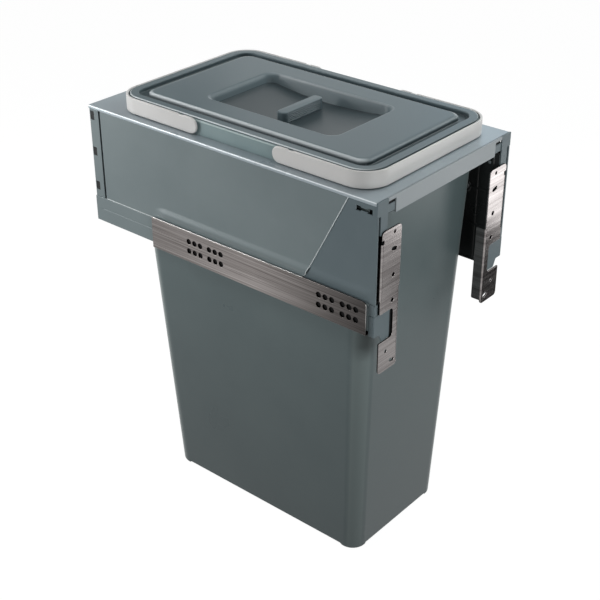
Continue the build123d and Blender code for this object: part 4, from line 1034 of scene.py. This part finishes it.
def panelSurface(shape):
    # grid: along y from the slanted edge to the rear edge, up the skin and over the fold
    low, high = panelLow, trayTop - shape["lip"]
    tangent = slantEdge(shape, np.array([low]))[1]
    foldLow, joggle = high - shape["foldHold"], skinX - shape["joggle"]
    rows = beadRows(shape, shape["beadRows"])
    upright = np.concatenate([low + tangent * cornerSteps, rows[rows > low + tangent],
                              np.linspace(rows[-1] + shape["beadPast"], foldLow, shape["skinRows"])])
    profile = np.concatenate([
        np.stack([skinX + 0 * upright, upright], axis=1),
        roundProfile([(skinX, foldLow, 0), (skinX, high, shape["fold"]), (joggle, high, shape["joggleRound"]),
                      (joggle, trayTop - shape["joggleDrop"], 0)])[1:]])
    x, z = (column[:, None] for column in profile.T)
    start = slantEdge(shape, z)[0]
    end, beadEnd = sideRear - shape["strip"], sideRear - shape["beadRear"]
    tail = np.linspace(shape["beadStart"], shape["beadReach"] * shape["beadTail"], shape["beadRows"])
    columns = beadEnd + shape["beadHalf"] * tail
    y = np.concatenate([start + np.array(shape["edgeSteps"]),
                        start + (columns[0] - start) * np.array(shape["runShares"]),
                        columns + 0 * start, np.array([end - shape["rearHold"], end]) + 0 * start], axis=1)
    depth = shape["edgeRound"]                           # the slanted edge is rolled over
    inside = np.minimum(y - start, z - low)
    roll = depth - np.sqrt(depth ** 2 - np.clip(depth - inside, 0, depth) ** 2)
    points = np.stack([x + beadLift(shape, y, z) - roll, y, z + 0 * y], axis=2)
    skinSheet = points.reshape(-1, 3), bandFaces(*points.shape[:2], False)
    # painted highlight along the slanted front edge and the foot
    bare = (y - start < shape["edgeHighlight"] + hair) | (z - low < shape["footHighlight"])
    # flange that carries the tray: one flat face
    ledge = np.array([joggle, skinX - shape["thick"]])[:, None]
    flangeY = np.array([sideFront + shape["flangeFront"], sideRear - shape["sheet"]])
    level = 0 * (ledge + flangeY)
    flange = np.stack([ledge + level, flangeY + level, trayTop - shape["flangeDrop"] + level], axis=2)
    surface = joinSurfaces(skinSheet, (flange.reshape(-1, 3), bandFaces(2, 2, False)))
    return surface, np.concatenate([bare.astype(float).ravel(), np.zeros(4)])


panelParts, panelHighlightPaint = panelSurface(panelShape)
for side, sign in sides.items():
    piece = makePiece(side + "PanelSkin", panelParts if sign > 0 else mirrored(panelParts, 0), "coatedSteel",
                      sharp=35.0, marks={"bareEdge": panelHighlightPaint})
    sheet = piece.modifiers.new("sheet", "SOLIDIFY")
    sheet.thickness = panelShape["sheet"] * mm
    sheet.offset = -1
    rim = piece.modifiers.new("rim", "BEVEL")
    rim.width = panelShape["rimWidth"] * mm
    rim.segments = panelShape["rimSegments"]
    rim.limit_method = "ANGLE"
    rim.angle_limit = math.radians(panelShape["rimAngle"])
    rim.harden_normals = True
    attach(piece, "drawer")
    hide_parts(side + "_side_panel")
print("side panels made")


# Cabinet rail: holed plate, rounded fold at its foot, flange and the upright track inside
railShape = {
    "sheet": 1.5, "round": 5.0, "fold": 1.7, "edge": 0.35, "crisp": 0.2, "seamHold": 1.0,
    "holeRadius": 3.7, "rowDrop": 14.0, "rowPitch": 12.8, "firstHole": 14.0, "pitch": 9.5,
    "triplet": 34.0, "group": 204.0, "trackTop": 28.0, "headHalf": 3.5,
    # painted shade: a dark sheet behind each group of holes
    "liner": 0.4, "linerPast": 6.0, "linerRound": 0.5, "linerEdge": 0.1, "linerGap": 0.05,
    # where the painted shade of the holes and the painted highlights on cut edges lie, from the rail's edges
    # and its face
    "markInset": 5.0, "wallFrom": 0.2, "wallPast": 0.6, "endHighlight": 0.6, "endFrom": 2.0, "topHighlight": 0.6,
    "seamBefore": 0.5, "bareSkin": 0.05,
}


def railSurface(shape):
    # holed plate in (y, z), a section drawn along y for fold, flange and track, and a dark sheet behind the
    # holes as painted shade
    low, high = span("right_cabinet_rail")
    face, sheet, fold, edge = high[0], shape["sheet"], shape["fold"], shape["edge"]
    y0, y1, z0, z1 = low[1], high[1], low[2], high[2]
    foot, crisp = z0 + fold - edge, shape["crisp"]
    outline = roundOutline([(y0, foot, crisp), (y1, foot, crisp), (y1, z1, sheet), (seamFoot, z1, 0),
                            (seamFoot - shape["seamHold"], z1, 0), (y0, z1, shape["round"])])
    firsts = [y0 + shape["firstHole"] + group * shape["group"] for group in range(2)]
    levels = [z1 - shape["rowDrop"] - row * shape["rowPitch"] for row in range(2)]
    holes = [roundHole(first + triplet * shape["triplet"] + hole * shape["pitch"], level, shape["holeRadius"])
             for first in firsts for triplet in range(2) for hole in range(3) for level in levels]
    plate = plateSurface(outline, holes, sheet, edge, sideways(face))
    middle, half, top = (skinX + span("right_inner_panel")[0][0]) / 2, sheet / 2, z0 + shape["trackTop"]
    head = shape["headHalf"]
    outer = arcPoints(face - fold, z0 + fold, fold, 0, -90)
    inner = arcPoints(face - fold, z0 + fold, fold - sheet, -90, 0)
    track = [(middle - half, z0), (middle - half, top - sheet), (middle - head, top - sheet),
             (middle - head, top), (middle + head, top), (middle + head, top - sheet),
             (middle + half, top - sheet), (middle + half, z0 + sheet)]
    section = np.concatenate([outer, track, inner])[:, ::-1]
    # dark sheets behind the holes: painted shade seen through them
    past, behind = shape["linerPast"], sideways(face - sheet - shape["linerGap"])
    holeShadeSheets = []
    for first in firsts:
        last = first + shape["triplet"] + 2 * shape["pitch"]
        box = boxOutline(first - past, last + past, levels[1] - past, levels[0] + past, shape["linerRound"])
        holeShadeSheets.append(plateSurface(box, [], shape["liner"], shape["linerEdge"], behind))
    return joinSurfaces(plate, drawnSection(section, [y0, y1], rearwards), *holeShadeSheets)


# Door bracket: holed plate with a notch, an outer flange into the side and an inner flange down the foot
bracketShape = {
    "sheet": 2.0, "round": 5.0, "edge": 0.4, "crisp": 0.1, "lap": 0.1, "footEase": 0.3,
    "notchDrop": 101.0, "notchHeight": 37.0, "notchEdge": 0.8, "neck": 10.0,
    "outerLow": 94.6, "outerTop": 164.0, "outerDepth": 20.0, "outerRound": 1.5,
    "innerLow": 5.0, "innerTop": 103.0, "innerDepth": 14.0, "innerRound": 2.0,
    "reliefHeight": 5.0, "reliefDepth": 4.0, "reliefRound": 0.5,
    # depth from the plate's face, then two heights above the foot
    "studRoom": (13.2, 150.2, 156.7), "roomRound": 0.3,
    # x and z from the plate's corner, radius, and length where it is a slot
    "holes": [(12.5, 120.5, 2.7, 0), (12.5, 88.5, 2.7, 0), (12.5, 173.0, 2.1, 0), (21.5, 26.0, 2.1, 0),
              (12.5, 152.5, 2.3, 10.0), (9.5, 9.5, 2.3, 9.0)],
    "slotAngle": 12.0,
    # where the painted shade on the hole walls lies: clear of the two folds, and how deep behind the face
    "foldInner": 2.5, "foldOuter": 4.0, "foldPast": 1.0, "wallFrom": 0.2, "wallPast": 0.1,
}


def bracketSurface(shape):
    # holed plate in (x, z), two quarter-round folds drawn along z, and a flat flange behind each fold
    low, high = span("right_door_bracket")
    x0, x1, y0, z0, z1 = low[0], high[0], low[1], low[2], high[2]
    sheet, edge, turn, crisp = shape["sheet"], shape["edge"], shape["round"], shape["crisp"]
    notchTop = z1 - shape["notchDrop"]
    notchLow = notchTop - shape["notchHeight"]
    neck, nip = x0 + shape["neck"], shape["notchEdge"]
    outerLow, outerTop = z0 + shape["outerLow"], z0 + shape["outerTop"]
    innerLow, innerTop = z0 + shape["innerLow"], z0 + shape["innerTop"]
    fold, innerEnd = x1 - sheet + edge, x0 + sheet - edge
    relief, reliefTop = x1 - shape["reliefDepth"], outerTop + shape["reliefHeight"]
    bite = shape["reliefRound"]
    outline = roundOutline([
        (x1, z0, turn), (x1, notchLow, nip), (neck, notchLow, turn), (neck, notchTop, turn),
        (x1, notchTop, nip), (x1, outerLow, crisp), (fold, outerLow, crisp), (fold, outerTop, crisp),
        (relief, outerTop, bite), (relief, reliefTop, bite), (x1, reliefTop, bite), (x1, z1, turn),
        (x0, z1, turn), (x0, innerTop, crisp), (innerEnd, innerTop, crisp), (innerEnd, innerLow, crisp),
        (x0, innerLow, 0), (x0, z0, turn - shape["footEase"])])
    holes = [roundHole(x0 + u, z0 + w, radius, length, shape["slotAngle"])
             for u, w, radius, length in shape["holes"]]
    plate = plateSurface(outline, holes, sheet, edge, forwards(y0))
    lap, behind = edge + shape["lap"], y0 + sheet
    outerFold = np.concatenate([
        [(x1 - sheet - lap, y0)], arcPoints(x1 - sheet, behind, sheet, -90, 0),
        [(x1, behind + lap), (x1 - sheet, behind + lap), (x1 - sheet - lap, behind)]])
    innerFold = np.concatenate([
        [(x0 + sheet + lap, behind), (x0 + sheet, behind + lap), (x0, behind + lap)],
        arcPoints(x0 + sheet, behind, sheet, 180, 270), [(x0 + sheet + lap, y0)]])
    back, room, tight = y0 + shape["outerDepth"], y0 + shape["studRoom"][0], shape["roomRound"]
    roomLow, roomTop = (z0 + height for height in shape["studRoom"][1:])
    outerFlange = roundOutline([
        (behind, outerLow, crisp), (back, outerLow, shape["outerRound"]), (back, roomLow, tight),
        (room, roomLow, tight), (room, roomTop, tight), (back, roomTop, tight),
        (back, outerTop, shape["outerRound"]), (behind, outerTop, crisp)])
    back = y0 + shape["innerDepth"]
    innerFlange = roundOutline([(-back, innerLow, shape["innerRound"]), (-behind, innerLow, crisp),
                                (-behind, innerTop, crisp), (-back, innerTop, shape["innerRound"])])
    return joinSurfaces(
        plate, drawnSection(outerFold, [outerLow, outerTop], upwards),
        drawnSection(innerFold, [innerLow, innerTop], upwards),
        plateSurface(outerFlange, [], sheet, edge, sideways(x1)),
        plateSurface(innerFlange, [], sheet, edge, inwards(x0)))


# Rear strip with its three slots and the fold into the back
stripShape = {"sheet": 1.2, "width": 16.4, "fold": 1.2, "edge": 0.25, "round": 1.0, "crisp": 0.1,
              "slotEdge": 1.6, "slotWidth": 6.8, "slotHeight": 11.4, "slotRound": 0.5,
              "slotDrops": (13.0, 61.0, 108.0)}


def stripSurface(shape):
    # slotted plate in (y, z), and a section drawn upwards for the fold into the back
    low, high = span("right_rear_bracket")
    face, rear, fold, sheet = high[0], high[1], shape["fold"], shape["sheet"]
    start, end = rear - shape["width"], rear - fold + shape["edge"]
    outline = roundOutline([(start, low[2], shape["round"]), (end, low[2], shape["crisp"]),
                            (end, high[2], shape["crisp"]), (start, high[2], shape["round"])])
    middle = rear - shape["slotEdge"] - shape["slotWidth"] / 2
    holes = [boxHole(middle, trayTop - drop, shape["slotWidth"], shape["slotHeight"], shape["slotRound"])
             for drop in shape["slotDrops"]]
    plate = plateSurface(outline, holes, sheet, shape["edge"], sideways(face))
    section = np.concatenate([arcPoints(face - fold, rear - fold, fold, 0, 90),
                              [(low[0], rear), (low[0], rear - sheet), (face - sheet, rear - sheet),
                               (face - sheet, rear - fold)]])
    return joinSurfaces(plate, drawnSection(section, [low[2], high[2]], upwards))


# Front cover: follows the panel's slanted edge and carries the bead on, lower
coverShape = {"thick": 2.0, "edge": 0.15, "gap": 0.02, "capHeight": 17.3, "capPlate": 2.3, "beadShare": 0.6,
              "slotSetback": 18.5, "slotDrop": 12.7, "slotLength": 22.4, "eye": 6.0, "eyeLong": 6.8,
              "web": 3.2, "topHold": 1.0, "chamfer": 0.3, "rows": 19, "rowInset": 1.5,
              "columns": (0.02, 0.97, 14)}   # first and last share of the width, and how many


def coverSurface(shape):
    # plate in (y, z) between the front and the slanted seam, lifted by a share of the panel's bead
    low, high = span("right_front_cover")
    front, face, top = low[1], high[0], high[2]
    tangent = slantEdge(panelShape, np.array([panelLow]))[1]
    z = np.concatenate([panelLow + tangent * cornerSteps[1:], [top - shape["topHold"], top]])
    rearEdge = np.stack([slantEdge(panelShape, z)[0] - shape["gap"], z], axis=1)
    behind, capFoot, chamfer = front + shape["capPlate"], trayTop - shape["capHeight"], shape["chamfer"]
    ahead = np.array([(behind, top), (behind, capFoot), (front, capFoot), (front, panelLow + chamfer),
                      (front + chamfer, panelLow)])
    outline = np.concatenate([rearEdge, ahead])
    middle = front + shape["slotSetback"], trayTop - shape["slotDrop"]
    reach, eye, web = shape["slotLength"] / 2, shape["eye"] / 2, shape["web"] / 2
    inner = reach - shape["eyeLong"]
    slot = np.array([(-reach, -eye), (-reach, eye), (-inner, eye), (-inner, web), (inner, web),
                     (inner, eye), (reach, eye), (reach, -eye), (inner, -eye), (inner, -web),
                     (-inner, -web), (-inner, -eye)])
    rows = beadRows(panelShape, shape["rows"])
    rows = rows[rows > panelLow + shape["rowInset"]]
    share = np.linspace(*shape["columns"])
    ends = slantEdge(panelShape, rows)[0]
    grid = np.stack([front + (ends[:, None] - front) * share, rows[:, None] + 0 * share], axis=2)

    def place(u, w, depth):
        return np.stack([face + shape["beadShare"] * beadLift(panelShape, u, w) - depth, u, w], axis=-1)

    return plateSurface(outline, [slot + middle], shape["thick"], shape["edge"], place, grid.reshape(-1, 2))


# Runner: an inverted channel drawn along y, with a scored line that stops short of the rear end
runnerShape = {"sheet": 1.2, "scoreDrop": 16.0, "scoreHalf": 0.7, "scoreDepth": 0.45, "scoreEnd": 11.0,
               "scoreRun": 1.5, "scoreMark": 0.0001, "endHold": 0.4,
               "topEdge": 0.9, "edge": 0.35, "edgeRows": 5, "web": 1.2, "lip": 4.3,
               "tabThick": 3.0, "tabHalf": 4.0, "tabGap": 0.3}


def runnerSurface(shape):
    # a section (x, z) drawn along y; its point in the scored line is pressed in up to the line's end
    low, high = span("right_runner")
    x0, x1, z0, z1 = low[0], high[0], low[2], high[2]
    sheet, edge = shape["sheet"], shape["edge"]
    score, half = z1 - shape["scoreDrop"], shape["scoreHalf"]
    lip, web = x0 + sheet + shape["lip"], z1 - shape["web"]
    section = roundOutline([
        (x1, z0, edge), (x1, score - half, 0), (x1 - shape["scoreMark"], score, 0), (x1, score + half, 0),
        (x1, z1, shape["topEdge"]), (x0, z1, edge), (x0, z0, edge), (lip, z0, edge), (lip, z0 + sheet, edge),
        (x0 + sheet, z0 + sheet, edge), (x0 + sheet, web, edge), (x1 - sheet, web, edge),
        (x1 - sheet, z0, edge)], shape["edgeRows"])
    x, z = section.T
    dip = (np.abs(z - score) < hair) & (x > x1 - half)
    end, hold = high[1] - shape["scoreEnd"], shape["endHold"]
    levels = np.array([low[1], low[1] + hold, end - shape["scoreRun"], end, high[1] - hold, high[1]])
    depth = shape["scoreDepth"] * np.array([1, 1, 1, 0, 0, 0])
    stack = np.stack([rearwards(z, x - dip * press, level + 0 * x) for level, press in zip(levels, depth)])
    if runsClockwise(z, x):
        stack = stack[:, ::-1]
    # stop for the damper's rod
    rodLow, rodHigh = span("right_damper_rod")
    rear, axis = rodLow[1] - shape["tabGap"], (rodLow[2] + rodHigh[2]) / 2
    tab = [(rodLow[0], rear - shape["tabThick"]), (x1 - sheet / 2, rear - shape["tabThick"]),
           (x1 - sheet / 2, rear), (rodLow[0], rear)]
    stop = drawnSection(tab, [axis - shape["tabHalf"], axis + shape["tabHalf"]], upwards)
    return joinSurfaces(closedShell(stack), stop)


# End cap of the runner: a front plate with a toe, seen in the bracket's notch
endCapShape = {"plate": 2.2, "edge": 0.5, "inset": 1.6, "toe": 10.0, "round": 1.0,
               "bodyEdge": 0.3, "bodyRound": 0.5, "backGap": 0.2,
               # x range, z range and front of each block behind the plate
               "body": [(102.5, 130.3, 363.6, 389.4, -221.7), (124.5, 130.3, 390.2, 403.7, -223.8)]}


def endCapSurface(shape):
    # front plate in (x, z) with a slanted toe, and the blocks behind it
    low, high = span("right_runner_end_cap")
    x0, x1, z0, z1 = low[0] + shape["inset"], high[0], low[2], high[2]
    toe, turn = shape["toe"], shape["round"]
    middle = (low[0] + x1) / 2
    outline = roundOutline([(x0, z0, turn), (middle, z0, turn), (middle + toe / 2, z0 + toe, turn),
                            (x1, z0 + toe, turn), (x1, z1, turn), (x0, z1, turn)])
    parts = [plateSurface(outline, [], shape["plate"], shape["edge"], forwards(low[1]))]
    for *box, front in shape["body"]:
        depth = high[1] - shape["backGap"] - front
        block = boxOutline(*box, shape["bodyRound"])
        parts.append(plateSurface(block, [], depth, shape["bodyEdge"], forwards(front)))
    return joinSurfaces(*parts)


# Painted shade: thin dark sheets behind the bracket, in the rear strip's slots and at the cross rail's end,
# where only shade is seen
shadeSheetShape = {
    "sheet": 1.0, "behind": 0.35, "edge": 0.15, "round": 0.5,
    "bracket": [(91.0, 101.2, 346.0, 393.0), (91.0, 120.5, 396.0, 485.0)],   # x and z ranges
    "crossRail": (97.0, 111.0, 507.5, 522.5), "crossBehind": 2.35,
    "slotPlay": 0.05, "slotBehind": 0.35, "slotSheet": 0.5,
}


def shadeSheetSurface(shape):
    # thin dark plates of painted shade: in (x, z) behind the bracket and the cross rail, in (y, z) in the
    # strip's slots
    front = span("right_door_bracket")[0][1] + bracketShape["sheet"]
    plates = [(box, shape["sheet"], forwards(front + shape["behind"])) for box in shape["bracket"]]
    plates.append((shape["crossRail"], shape["slotSheet"], forwards(front + shape["crossBehind"])))
    face, rear = span("right_rear_bracket")[1][:2]
    middle = rear - stripShape["slotEdge"] - stripShape["slotWidth"] / 2
    half, tall = (stripShape[key] / 2 - shape["slotPlay"] for key in ("slotWidth", "slotHeight"))
    for drop in stripShape["slotDrops"]:
        z = trayTop - drop
        box = middle - half, middle + half, z - tall, z + tall
        plates.append((box, shape["slotSheet"], sideways(face - shape["slotBehind"])))
    return joinSurfaces(*[plateSurface(boxOutline(*box, shape["round"]), [], thick, shape["edge"], place)
                          for box, thick, place in plates])


def railMarks(surface, shape):
    # painted shade on the hole walls and liners; painted highlight on the cut at the front end and on the top
    # edge behind the seam
    low, high = span("right_cabinet_rail")
    x, y, z = surface[0].T
    depth, inset, skin = high[0] - x, shape["markInset"], shape["bareSkin"]
    inside = (y > low[1] + inset) & (y < high[1] - inset) & (z > low[2] + inset) & (z < high[2] - inset)
    walls = inside & (depth > shape["wallFrom"]) & (depth < shape["sheet"] + shape["wallPast"])
    frontEnd = (y < low[1] + shape["endHighlight"]) & (z > low[2] + shape["endFrom"])
    topEdge = (y > seamFoot - shape["seamBefore"]) & (z > high[2] - shape["topHighlight"])
    bare = (frontEnd | topEdge) & (depth > skin) & (depth < shape["sheet"] - skin)
    return {"paintedHoleShade": walls.astype(float), "bareEdge": bare.astype(float)}


def bracketMarks(surface, shape):
    # painted shade on the hole walls and cut edges, but not on the two folds
    low, high = span("right_door_bracket")
    x, y, z = surface[0].T
    depth, past = y - low[1], shape["foldPast"]
    outer = (z > low[2] + shape["outerLow"] - past) & (z < low[2] + shape["outerTop"] + past)
    folds = (x < low[0] + shape["foldInner"]) | ((x > high[0] - shape["foldOuter"]) & outer)
    walls = ~folds & (depth > shape["wallFrom"]) & (depth < shape["sheet"] + shape["wallPast"])
    return {"paintedHoleShade": walls.astype(float)}


# piece: (surface, finish, slot, node it stands for)
platePieces = {
    "RailPlate": (railSurface(railShape), "railSteel", "brushed_steel", "cabinet_rail"),
    "BracketPlate": (bracketSurface(bracketShape), "bracketSteel", "brushed_steel", "door_bracket"),
    "RearStrip": (stripSurface(stripShape), "coatedSteel", "coated_steel", "rear_bracket"),
    "CoverPlate": (coverSurface(coverShape), "coverPlastic", "grey_plastic", "front_cover"),
    "RunnerChannel": (runnerSurface(runnerShape), "coatedSteel", "coated_steel", "runner"),
    "EndCapPlate": (endCapSurface(endCapShape), "coverPlastic", "grey_plastic", "runner_end_cap"),
    "DarkInserts": (shadeSheetSurface(shadeSheetShape), "blackPlastic", "black_plastic", None),
}
plateMarks = {"RailPlate": railMarks(platePieces["RailPlate"][0], railShape),
              "BracketPlate": bracketMarks(platePieces["BracketPlate"][0], bracketShape)}
for side, sign in sides.items():
    for name, (surface, finish, slot, node) in platePieces.items():
        piece = makePiece(side + name, surface if sign > 0 else mirrored(surface, 0), finish, sharp=9.0,
                          marks=plateMarks.get(name))
        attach(piece, nodes[side + "_" + node]["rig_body"] if node else "drawer")
        if node:
            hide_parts(side + "_" + node)
print("plates and folds made")


# Folded sheet and moulded pieces: the node's own form with its edges eased
# node: (finish, slot, eased edge in mm)
easedPieces = {
    "inner_panel": ("coatedSteel", "coated_steel", 0.3),
    "corner_cap": ("coverPlastic", "grey_plastic", 0.6),
    "coupling_housing": ("housingPlastic", "black_plastic", 0.4),
    "latch_lever": ("blackPlastic", "black_plastic", 0.4),
    "lower_roller_cage": ("blackPlastic", "black_plastic", 0.2),
    "upper_roller_cage": ("blackPlastic", "black_plastic", 0.2),
    "middle_rail": ("zincPlate", "plated_steel", 0.3),
}
easedSingles = {
    "front_cross_rail": ("railPlastic", "light_grey_plastic", 0.7),
    "back_panel": ("coatedSteel", "coated_steel", 0.3),
}


# angles in degrees: an edge over sharp is eased, one under soft shades smoothly; broad in square millimetres
easing = {"sharp": 35.0, "segments": 2, "profile": 0.5, "dissolve": 0.5, "broad": 150.0, "flat": 1.0,
          "soft": 20.0}


def keepFlat(merged, eased):
    # eased faces blend into each other; an edge beside a broad flat face stays crisp
    flat, soft = math.radians(easing["flat"]), math.radians(easing["soft"])
    broad = easing["broad"] * mm * mm
    for face in merged.faces:
        face.smooth = True
    for edge in merged.edges:
        angle = edge.calc_face_angle(0.0)
        wide = any(face.calc_area() > broad for face in edge.link_faces)
        both = all(face in eased for face in edge.link_faces)
        edge.smooth = not (angle > flat and wide) and (both or angle < soft)


def easedCopy(node, finish, slot, width):
    # the node's mesh with its loose triangles merged, flat faces joined and edges eased
    words = node.split("_")
    name = words[0] + "".join(word.capitalize() for word in words[1:]) + "Eased"
    mesh = bpy.data.meshes.new(name)
    merged = bmesh.new()
    merged.from_mesh(nodes[node].data)
    bmesh.ops.remove_doubles(merged, verts=merged.verts, dist=weldGap)
    bmesh.ops.dissolve_limit(merged, angle_limit=math.radians(easing["dissolve"]), verts=merged.verts,
                             edges=merged.edges)
    sharp = math.radians(easing["sharp"])
    edges = [edge for edge in merged.edges if edge.is_manifold and edge.calc_face_angle() > sharp]
    made = bmesh.ops.bevel(merged, geom=edges, offset=width * mm, offset_type="OFFSET",
                           segments=easing["segments"], profile=easing["profile"], affect="EDGES",
                           clamp_overlap=True)
    keepFlat(merged, set(made["faces"]))
    merged.to_mesh(mesh)
    merged.free()
    if "custom_normal" in mesh.attributes:
        mesh.attributes.remove(mesh.attributes["custom_normal"])
    mesh.materials.clear()
    mesh.materials.append(looks[finish])
    piece = showMesh(name, mesh)
    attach(piece, nodes[node]["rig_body"])
    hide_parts(node)


for side in sides:
    for node, values in easedPieces.items():
        easedCopy(side + "_" + node, *values)
for node, values in easedSingles.items():
    easedCopy(node, *values)
print("sheet and moulded pieces eased")


# Turned pieces keep their own meshes and take a finish
keptNodes = {
    "damper_body": "blackPlastic", "damper_rod": "zincPlate", "latch_pin": "zincPlate",
    "lower_rollers": "zincPlate", "upper_rollers": "zincPlate",
}
keptSingles = {"tray_screws": "zincPlate", "adjuster_screws": "zincPlate"}


def giveFinish(node, finish):
    mesh = nodes[node].data
    mesh.materials.clear()
    mesh.materials.append(looks[finish])


for side in sides:
    for node, finish in keptNodes.items():
        giveFinish(side + "_" + node, finish)
for node, finish in keptSingles.items():
    giveFinish(node, finish)
print("turned pieces finished")


# Floor, world and soft lights
studio = {
    "floorHalf": 8.0, "floorColour": (0.90, 0.90, 0.90), "floorRough": 0.9, "floorWhite": 1.05,
    "shadowShare": 0.07, "worldLight": 0.12, "cardColour": (0.01, 0.01, 0.01),
    "dimBounce": (0.10, 0.10, 0.10), "frontBounce": (0.22, 0.22, 0.22), "frontFrom": -0.12, "frontTo": -0.45,
}
softLights = {
    # name: (place, aimed at, size across, size up, watts, colour)
    "topRight": ((0.75, -0.35, 1.25), (0, 0, 0.5), 0.7, 0.7, 6.2, (0.94, 1.0, 1.0)),
    "overhead": ((0.15, 0.0, 1.75), (0, 0, 0.5), 0.9, 0.9, 3.2, (0.94, 1.0, 1.0)),
    "sideLeft": ((-0.95, 1.25, 0.55), (0, 0, 0.40), 0.9, 0.8, 15.5, (0.97, 1.0, 1.0)),
    "fillFront": ((-0.75, -1.95, 0.50), (0, 0, 0.30), 1.3, 0.9, 18.0, (0.97, 1.0, 1.0)),
    "edgeLeftRear": ((-0.70, 0.85, 1.15), (0, 0, 0.5), 0.30, 0.26, 4.0, (1.0, 1.0, 1.0)),
    "coolRight": ((1.72, 0.75, 1.26), (0.12, -0.2, 0.53), 0.34, 0.34, 0.22, (0.10, 0.55, 1.0)),
    "lowRight": ((0.62, -0.66, 0.20), (0.105, -0.22, 0.46), 0.34, 0.20, 0.6, (1.0, 1.0, 1.0)),
}
# flags that only mirrors see: on the floor for the far bracket, behind on the right for the lid's rear
darkCards = {
    "floorCard": [(0.42, -0.57, 0.004), (0.56, -0.70, 0.004), (1.20, -0.70, 0.004), (1.20, -0.40, 0.004),
                  (0.44, -0.44, 0.004)],
    "rearCard": [(0.50, 0.58, 0.78), (0.29, 0.83, 0.78), (0.10, 0.69, 1.01), (0.31, 0.44, 1.01)],
}


def seenDirectly(tree):
    # 1 for rays from the camera, mirrored rays and rays through glass
    rays = tree.nodes.new("ShaderNodeLightPath").outputs
    both = calc(tree, "MAXIMUM", rays["Is Camera Ray"], rays["Is Glossy Ray"])
    return calc(tree, "MAXIMUM", both, rays["Is Transmission Ray"])


def flatSheet(name, corners):
    # a flat sheet of the studio with a dull finish of its own
    mesh = bpy.data.meshes.new(name)
    mesh.from_pydata(corners, [], [range(len(corners))])
    look, tree, paint, place = newLook(name)
    paint.inputs["Specular IOR Level"].default_value = 0.0
    mesh.materials.append(look)
    return showMesh(name, mesh), tree, paint, place


def makeFloor(values):
    half = values["floorHalf"]
    corners = [(-half, -half, 0), (half, -half, 0), (half, half, 0), (-half, half, 0)]
    floor, tree, paint, place = flatSheet("paleFloor", corners)
    seen = seenDirectly(tree)
    # what is bounced back to the part: little from the floor, more from the part of it in front
    along = put(tree, "ShaderNodeSeparateXYZ", {0: place}).outputs["Y"]
    ahead = ramp(tree, along, values["frontFrom"], values["frontTo"])
    bounce = mixColour(tree, ahead, values["dimBounce"], values["frontBounce"])
    tree.links.new(mixColour(tree, seen, bounce, values["floorColour"]), paint.inputs["Base Color"])
    paint.inputs["Roughness"].default_value = values["floorRough"]
    white = put(tree, "ShaderNodeEmission", {"Strength": values["floorWhite"]})
    share = calc(tree, "MULTIPLY", seen, 1 - values["shadowShare"])
    mix = put(tree, "ShaderNodeMixShader", {0: share, 1: paint.outputs[0], 2: white.outputs[0]})
    tree.links.new(mix.outputs[0], tree.nodes["Material Output"].inputs["Surface"])


def makeCard(name, corners, colour):
    card, tree, paint, place = flatSheet(name, corners)
    paint.inputs["Base Color"].default_value = (*colour, 1.0)
    card.visible_camera = card.visible_shadow = card.visible_diffuse = False


def makeWorld(values):
    world = bpy.data.worlds.new("studioWorld")
    scene.world = world
    world.use_nodes = True
    tree = world.node_tree
    sky = tree.nodes["Background"]
    sky.inputs["Color"].default_value = (1, 1, 1, 1)
    strength = ramp(tree, seenDirectly(tree), 0.0, 1.0, values["worldLight"], 1.0)
    tree.links.new(strength, sky.inputs["Strength"])


def makeLight(name, place, aim, across, up, watts, colour):
    data = bpy.data.lights.new(name, "AREA")
    data.shape = "RECTANGLE"
    data.size, data.size_y = across, up
    data.energy = watts
    data.color = colour
    lamp = bpy.data.objects.new(name, data)
    lamp.location = place
    lamp.rotation_euler = (Vector(aim) - Vector(place)).to_track_quat("-Z", "Y").to_euler()
    lamp.visible_camera = False
    scene.collection.objects.link(lamp)


makeFloor(studio)
for name, corners in darkCards.items():
    makeCard(name, corners, studio["cardColour"])
makeWorld(studio)
for name, values in softLights.items():
    makeLight(name, *values)
print("studio lit")
